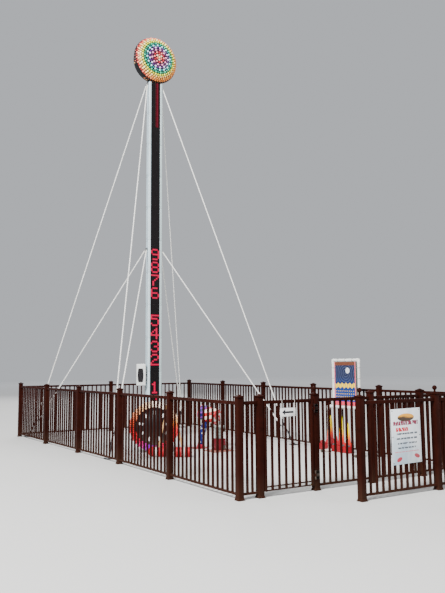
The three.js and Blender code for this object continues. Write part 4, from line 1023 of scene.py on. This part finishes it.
front_y, lane_y, front_length, lane_length, bay_length, bend = -6.13, -6.925, 0.938, 1.25, 1.7, 0.032
for number in range(3):
    fence_bay(f"front_fence_bay_{number + 1}", -0.852 + front_length * number, front_y, 0, front_length,
              close_pitch, ball_top=number == 0)
fence_bay("front_fence_bay_filler", -1.962, front_y, 0, 0.282, 0.076, last_post=True)
run_points = [Vector((1.962, front_y))]
for number in range(5):
    lean = bend * (number > 1)
    run_points.append(run_points[-1] + Vector((sin(lean), cos(lean))) * bay_length)
for number in range(5):
    x, y = run_points[number]
    fence_bay(f"right_fence_bay_{number + 1}", x, y, quarter - bend * (number > 1), bay_length, wide_pitch,
              turning=number in (1, 4))
    x, y = run_points[5 - number]
    fence_bay(f"left_fence_bay_{number + 1}", -x, y, bend * (number < 3) - quarter, bay_length, wide_pitch,
              turning=number == 2)
rear_x, rear_y = run_points[5]
for number in range(2):
    fence_bay(f"rear_fence_bay_{number + 1}", rear_x * (1 - number), rear_y, pi, rear_x, wide_pitch,
              turning=number == 1)
    fence_bay(f"lane_fence_bay_{number + 1}", -0.856 + lane_length * number, lane_y, 0, lane_length, close_pitch,
              ball_top=True, last_post=number == 1)

# ----------------------------------------
# Gate hinges. Welded barrel hinges: two knuckles and a pin on the post, the middle knuckle on the
# leaf, and long plates held by rows of bright bolts. The latch post carries a keeper plate.
hinge_x, hinge_y = court_x - 0.894, -6.1778
hinge_place = at(hinge_x, hinge_y)
hinge_heights = {"upper": 0.985, "lower": 0.19}
knuckle_half, pin_end = 0.017, 0.053
rivet = turned([(0.0048, 0), (0.0045, 0.0015), (0.003, 0.0028), (0, 0.0033)], 12)
knuckle = turned(both_ends([(0.01, 0.0158), (0.0092, knuckle_half)]), 20)
plate_brown = painted("hinge_plate_paint", tint(34, 14, 10), tint(22, 10, 8), 0.45, gloss=0.12)
oiled_steel = bare_steel("oiled_hinge_steel", tint(66, 60, 56), 0.5)
for level, height in hinge_heights.items():
    hinge = Piece(f"gate_barrel_hinge_{level}", at(hinge_x, hinge_y, height))
    hinge.add(knuckle, at(0, 0, 0.036), at(0, 0, -0.036))
    hinge.add(turned([(0.005, -0.0525), (0.005, 0.0525), (0.0042, 0.0535), (0, 0.0538)], 16), finish=1)
    for side in (1, -1):
        hinge.add(block((0.002, 0.06), (0.005, 0.01), (side * 0.019, side * pin_end), 0.001))
    hinge.add(block((0.016, 0.062), (0.005, 0.01), pin_end, 0.0015, 2))
    hinge.add(rivet, *(at(x, 0.005, z, quarter, "X")
                       for x in (0.028, 0.05) for z in (-0.042, -0.014, 0.014, 0.042)), finish=1)
    hinge.done(plate_brown, oiled_steel, replaces=[f"gate_hinge_{level}"], slot="dark_steel", smooth=40)

keeper = Piece("gate_keeper_plate")
low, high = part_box("gate_keeper")
keeper.add(block(*zip(low, high), 0.0012))
keeper.add(rivet, *(at(high.x, (low.y + high.y) / 2, z, quarter, "Y") for z in (0.942, 0.97, 0.998)), finish=1)
keeper.done(plate_brown, oiled_steel, replaces=["gate_keeper"], slot="dark_steel")

# ----------------------------------------
# Gate leaf. A welded frame with six pickets and two low bars, in the fence's brown paint, hung on
# the two middle knuckles; the latch tongue and its cover plate are on the far stile.
leaf_near, leaf_far, stile_y, picket_y = -0.037, -0.707, (0.0103, 0.0463), (0.0158, 0.0408)
leaf = Piece("exit_gate_leaf", hinge_place)
for stile_x in ((-0.0385, -0.0045), (-0.7395, -0.7055)):
    leaf.add(block(stile_x, stile_y, (0.066, fence_top), 0.004, 2))
leaf.add(block((leaf_far, leaf_near), (0.0105, 0.0461), (1.06, fence_top), 0.005, 3))
for bottom in (0.066, 0.108):
    leaf.add(block((leaf_far, leaf_near), (0.0203, 0.0363), (bottom, bottom + 0.015), 0.002))
leaf.add(block(picket_half, picket_y, (0.068, 1.061), 0.002), *(
    at(-0.7225 + 0.701 * number / 7, 0) for number in range(1, 7)))
for height in hinge_heights.values():
    leaf.add(turned(both_ends([(0.01, 0.0162), (0.0094, knuckle_half), (0.0056, knuckle_half)]), 20, ring=True),
             at(0, 0, height))
    leaf.add(block((-0.034, -0.0075), (0.0053, 0.0113), knuckle_half, 0.001), at(0, 0, height))
    leaf.add(rivet, *(at(-0.026, 0.0053, height + z, quarter, "X") for z in (-0.01, 0.01)), finish=1)
leaf.add(block((-0.7435, -0.715), (0.0223, 0.0343), (0.955, 0.985), 0.0015))
leaf.add(block((-0.7365, -0.7085), (0.0083, 0.0113), (0.9, 1.045), 0.001))
leaf.add(rivet, *(at(x, 0.0083, z, quarter, "X")
                  for x in (-0.73, -0.715) for z in (0.912, 0.942, 0.972, 1.002, 1.032)), finish=1)
leaf.done(fence_brown, oiled_steel, replaces=["gate_leaf"], body="exit_gate", slot="fence_paint")

# ----------------------------------------
# Gate sign. A small white plastic plate with a plain arrow, hung by two short strings from the
# gate's rail, flat against its pickets.
string_radius, string_y, loop_z, string_top = 0.0018, 0.0085, 0.995, 1.101
plastic = Finish("sign_white_plastic", Coat_Weight=0.3, Coat_Roughness=0.2)
u, v = (plastic.axis("X") - hinge_x + 0.3955) / 0.1, (plastic.axis("Z") - 0.954) / 0.1
shaft = (abs(v) < 0.12) * (u > -0.45) * (u < 0.82)
point = (abs(v) < (u + 0.88) * 0.8) * (u < -0.4)
smears = plastic.noise(22.0, 5, 0.65)
grubby_white = plastic.mix(smears.clear_of(0.45, 0.8) * 0.5, tint(238, 238, 236), tint(198, 196, 190))
sign_white = plastic.grained(plastic.mix(shaft + point > 0.5, grubby_white, tint(18, 20, 28)),
                             smears, 0.25, 0.3, 0.0008, 0.4)
sign = Piece("hung_gate_sign", hinge_place)
sign.add(block((-0.509, -0.282), (0.0095, 0.0155), (0.905, 1.003), 0.0015, 2))
for x in (-0.483, -0.296):
    sign.add(torus(0.0045, 0.0012, 12, 6), at(x, 0.0094, loop_z, quarter, "X"), finish=1)
    sign.add(*pipe((x, string_y, loop_z), (x, string_y, string_top + 0.0005), string_radius), finish=1)
    sign.add(*pipe((x, string_y, string_top), (x, 0.047, string_top), string_radius), finish=1)
sign.done(sign_white, whipping, replaces=["gate_sign"], body="exit_gate", slot="sign_white")

# ----------------------------------------
# Lane board. A printed notice panel of white sheet, a little askew, tied to the lane fence's
# pickets at its corners. The print is plain shapes: a low mound, bands, broken lines and two ovals.
lane_centre, lane_turn = (court_x - 0.143, -6.9408, 0.673), 0.015
printed = Finish("printed_lane_board", Coat_Weight=0.35, Coat_Roughness=0.2)
board_frame = {"location": lane_centre, "rotation": (0, -lane_turn, 0)}
flat_board = printed.turned(**board_frame)
u, v = printed.axis("X", flat_board), printed.axis("Z", flat_board)
grubby = printed.noise(6.0, 5, 0.6)
sheen = printed.noise(3.0, 3, 0.5, printed.turned(**board_frame, scale=(1, 1, 2.5)))
paper = printed.mix(sheen.clear_of(0.45, 0.6), tint(232, 236, 240), tint(176, 194, 208))
mound = u * u * 0.2 + (v - 0.215) * (v - 0.215) * 1.8 < 0.0038
paper = printed.mix(mound, paper, printed.mix(
    (v - 0.222 + grubby * 0.06).clear_of(0.02, 0.04), tint(54, 34, 6), tint(226, 156, 0)))
gaps = (u * 19.0 + grubby * 4.0) % 1.0 < 0.2
plum, scarlet, slate, pink = tint(126, 26, 58), tint(196, 20, 44), tint(70, 78, 90), tint(206, 90, 104)
for low, high, middle, half, colour in (
        (0.128, 0.175, -0.006, 0.205, plum), (0.056, 0.102, -0.07, 0.1, scarlet), (0.02, 0.04, 0.01, 0.17, slate),
        (-0.036, -0.016, 0.0, 0.175, slate), (-0.09, -0.072, 0.01, 0.165, slate),
        (-0.142, -0.124, 0.0, 0.15, slate), (-0.182, -0.174, 0.0, 0.2, pink)):
    paper = printed.mix((v > low) * (v < high) * (abs(u - middle) < half) * (1 - gaps), paper, colour)
for centre, height, slope in ((-0.13, -0.262, 0.35), (0.165, -0.24, -0.35)):
    across = (u - centre) + (v - height) * slope
    oval = across * across * 0.9 + (v - height - (u - centre) * slope) ** 2 * 3.4 < 0.0021
    paper = printed.mix(oval, paper, tint(176, 20, 52))
lane_print = printed.grained(paper, grubby, 0.2, 0.28, 0.0015, 0.4)
lane_board = Piece("tied_lane_board", at(*lane_centre, -lane_turn, "Y"))
lane_board.add(block(0.2425, 0.003, 0.3185, 0.0015, 2))
for x in (-0.225, 0.225):
    for z in (-0.3, 0.0, 0.3):
        lane_board.add(torus(0.006, 0.0014, 12, 6), at(x, -0.003, z, quarter, "X"), finish=1)
        lane_board.add(block(0.012, (-0.0045, -0.0028), 0.002, 0.0006), at(x, 0, z), finish=2)
lane_board.done(lane_print, bolt_steel, satin_black, replaces=["lane_board"], slot="sign_white")

# ----------------------------------------
# Studio. A plain pale floor that ends well beyond the fence, a pale surround, a large soft key
# light from the left and behind the camera, a soft fill and a light from behind.
floor_form = bmesh.new()
bmesh.ops.create_grid(floor_form, x_segments=1, y_segments=1, size=60)
floor = stand("studio_floor", keep(floor_form))
pale = Finish("studio_floor_paint", Specular_IOR_Level=0.15)
distance = (pale.axis("X") ** 2 + pale.axis("Y") ** 2) ** 0.5
pale_tones = pale.mix(pale.noise(0.8, 3) * 0.3, tint(208, 207, 204), tint(198, 197, 194))
floor.data.materials.append(pale.lay(
    Base_Color=pale.mix(distance.clear_of(14.0, 45.0), pale_tones, tint(253, 253, 253)),
    Roughness=pale.noise(3.0) * 0.1 + 0.8))
floor.location.z = -0.0006

surround = bpy.data.worlds.new("studio_surround")
surround.use_nodes = True
background = surround.node_tree.nodes["Background"]
background.inputs["Color"].default_value = (0.86, 0.89, 0.94, 1)
background.inputs["Strength"].default_value = 0.6
bpy.context.scene.world = surround
target = Vector((0, -2, 3))
for name, power, size, place in (("key_light", 14000, 7, (-16, -13, 17)), ("fill_light", 900, 12, (14, -16, 9)),
                                 ("back_light", 2500, 10, (6, 16, 14))):
    light = stand(name, bpy.data.lights.new(name, "AREA"))
    light.data.energy, light.data.size = power, size
    aim = (target - Vector(place)).to_track_quat("-Z", "Y")
    light.matrix_world = Matrix.Translation(place) @ aim.to_matrix().to_4x4()
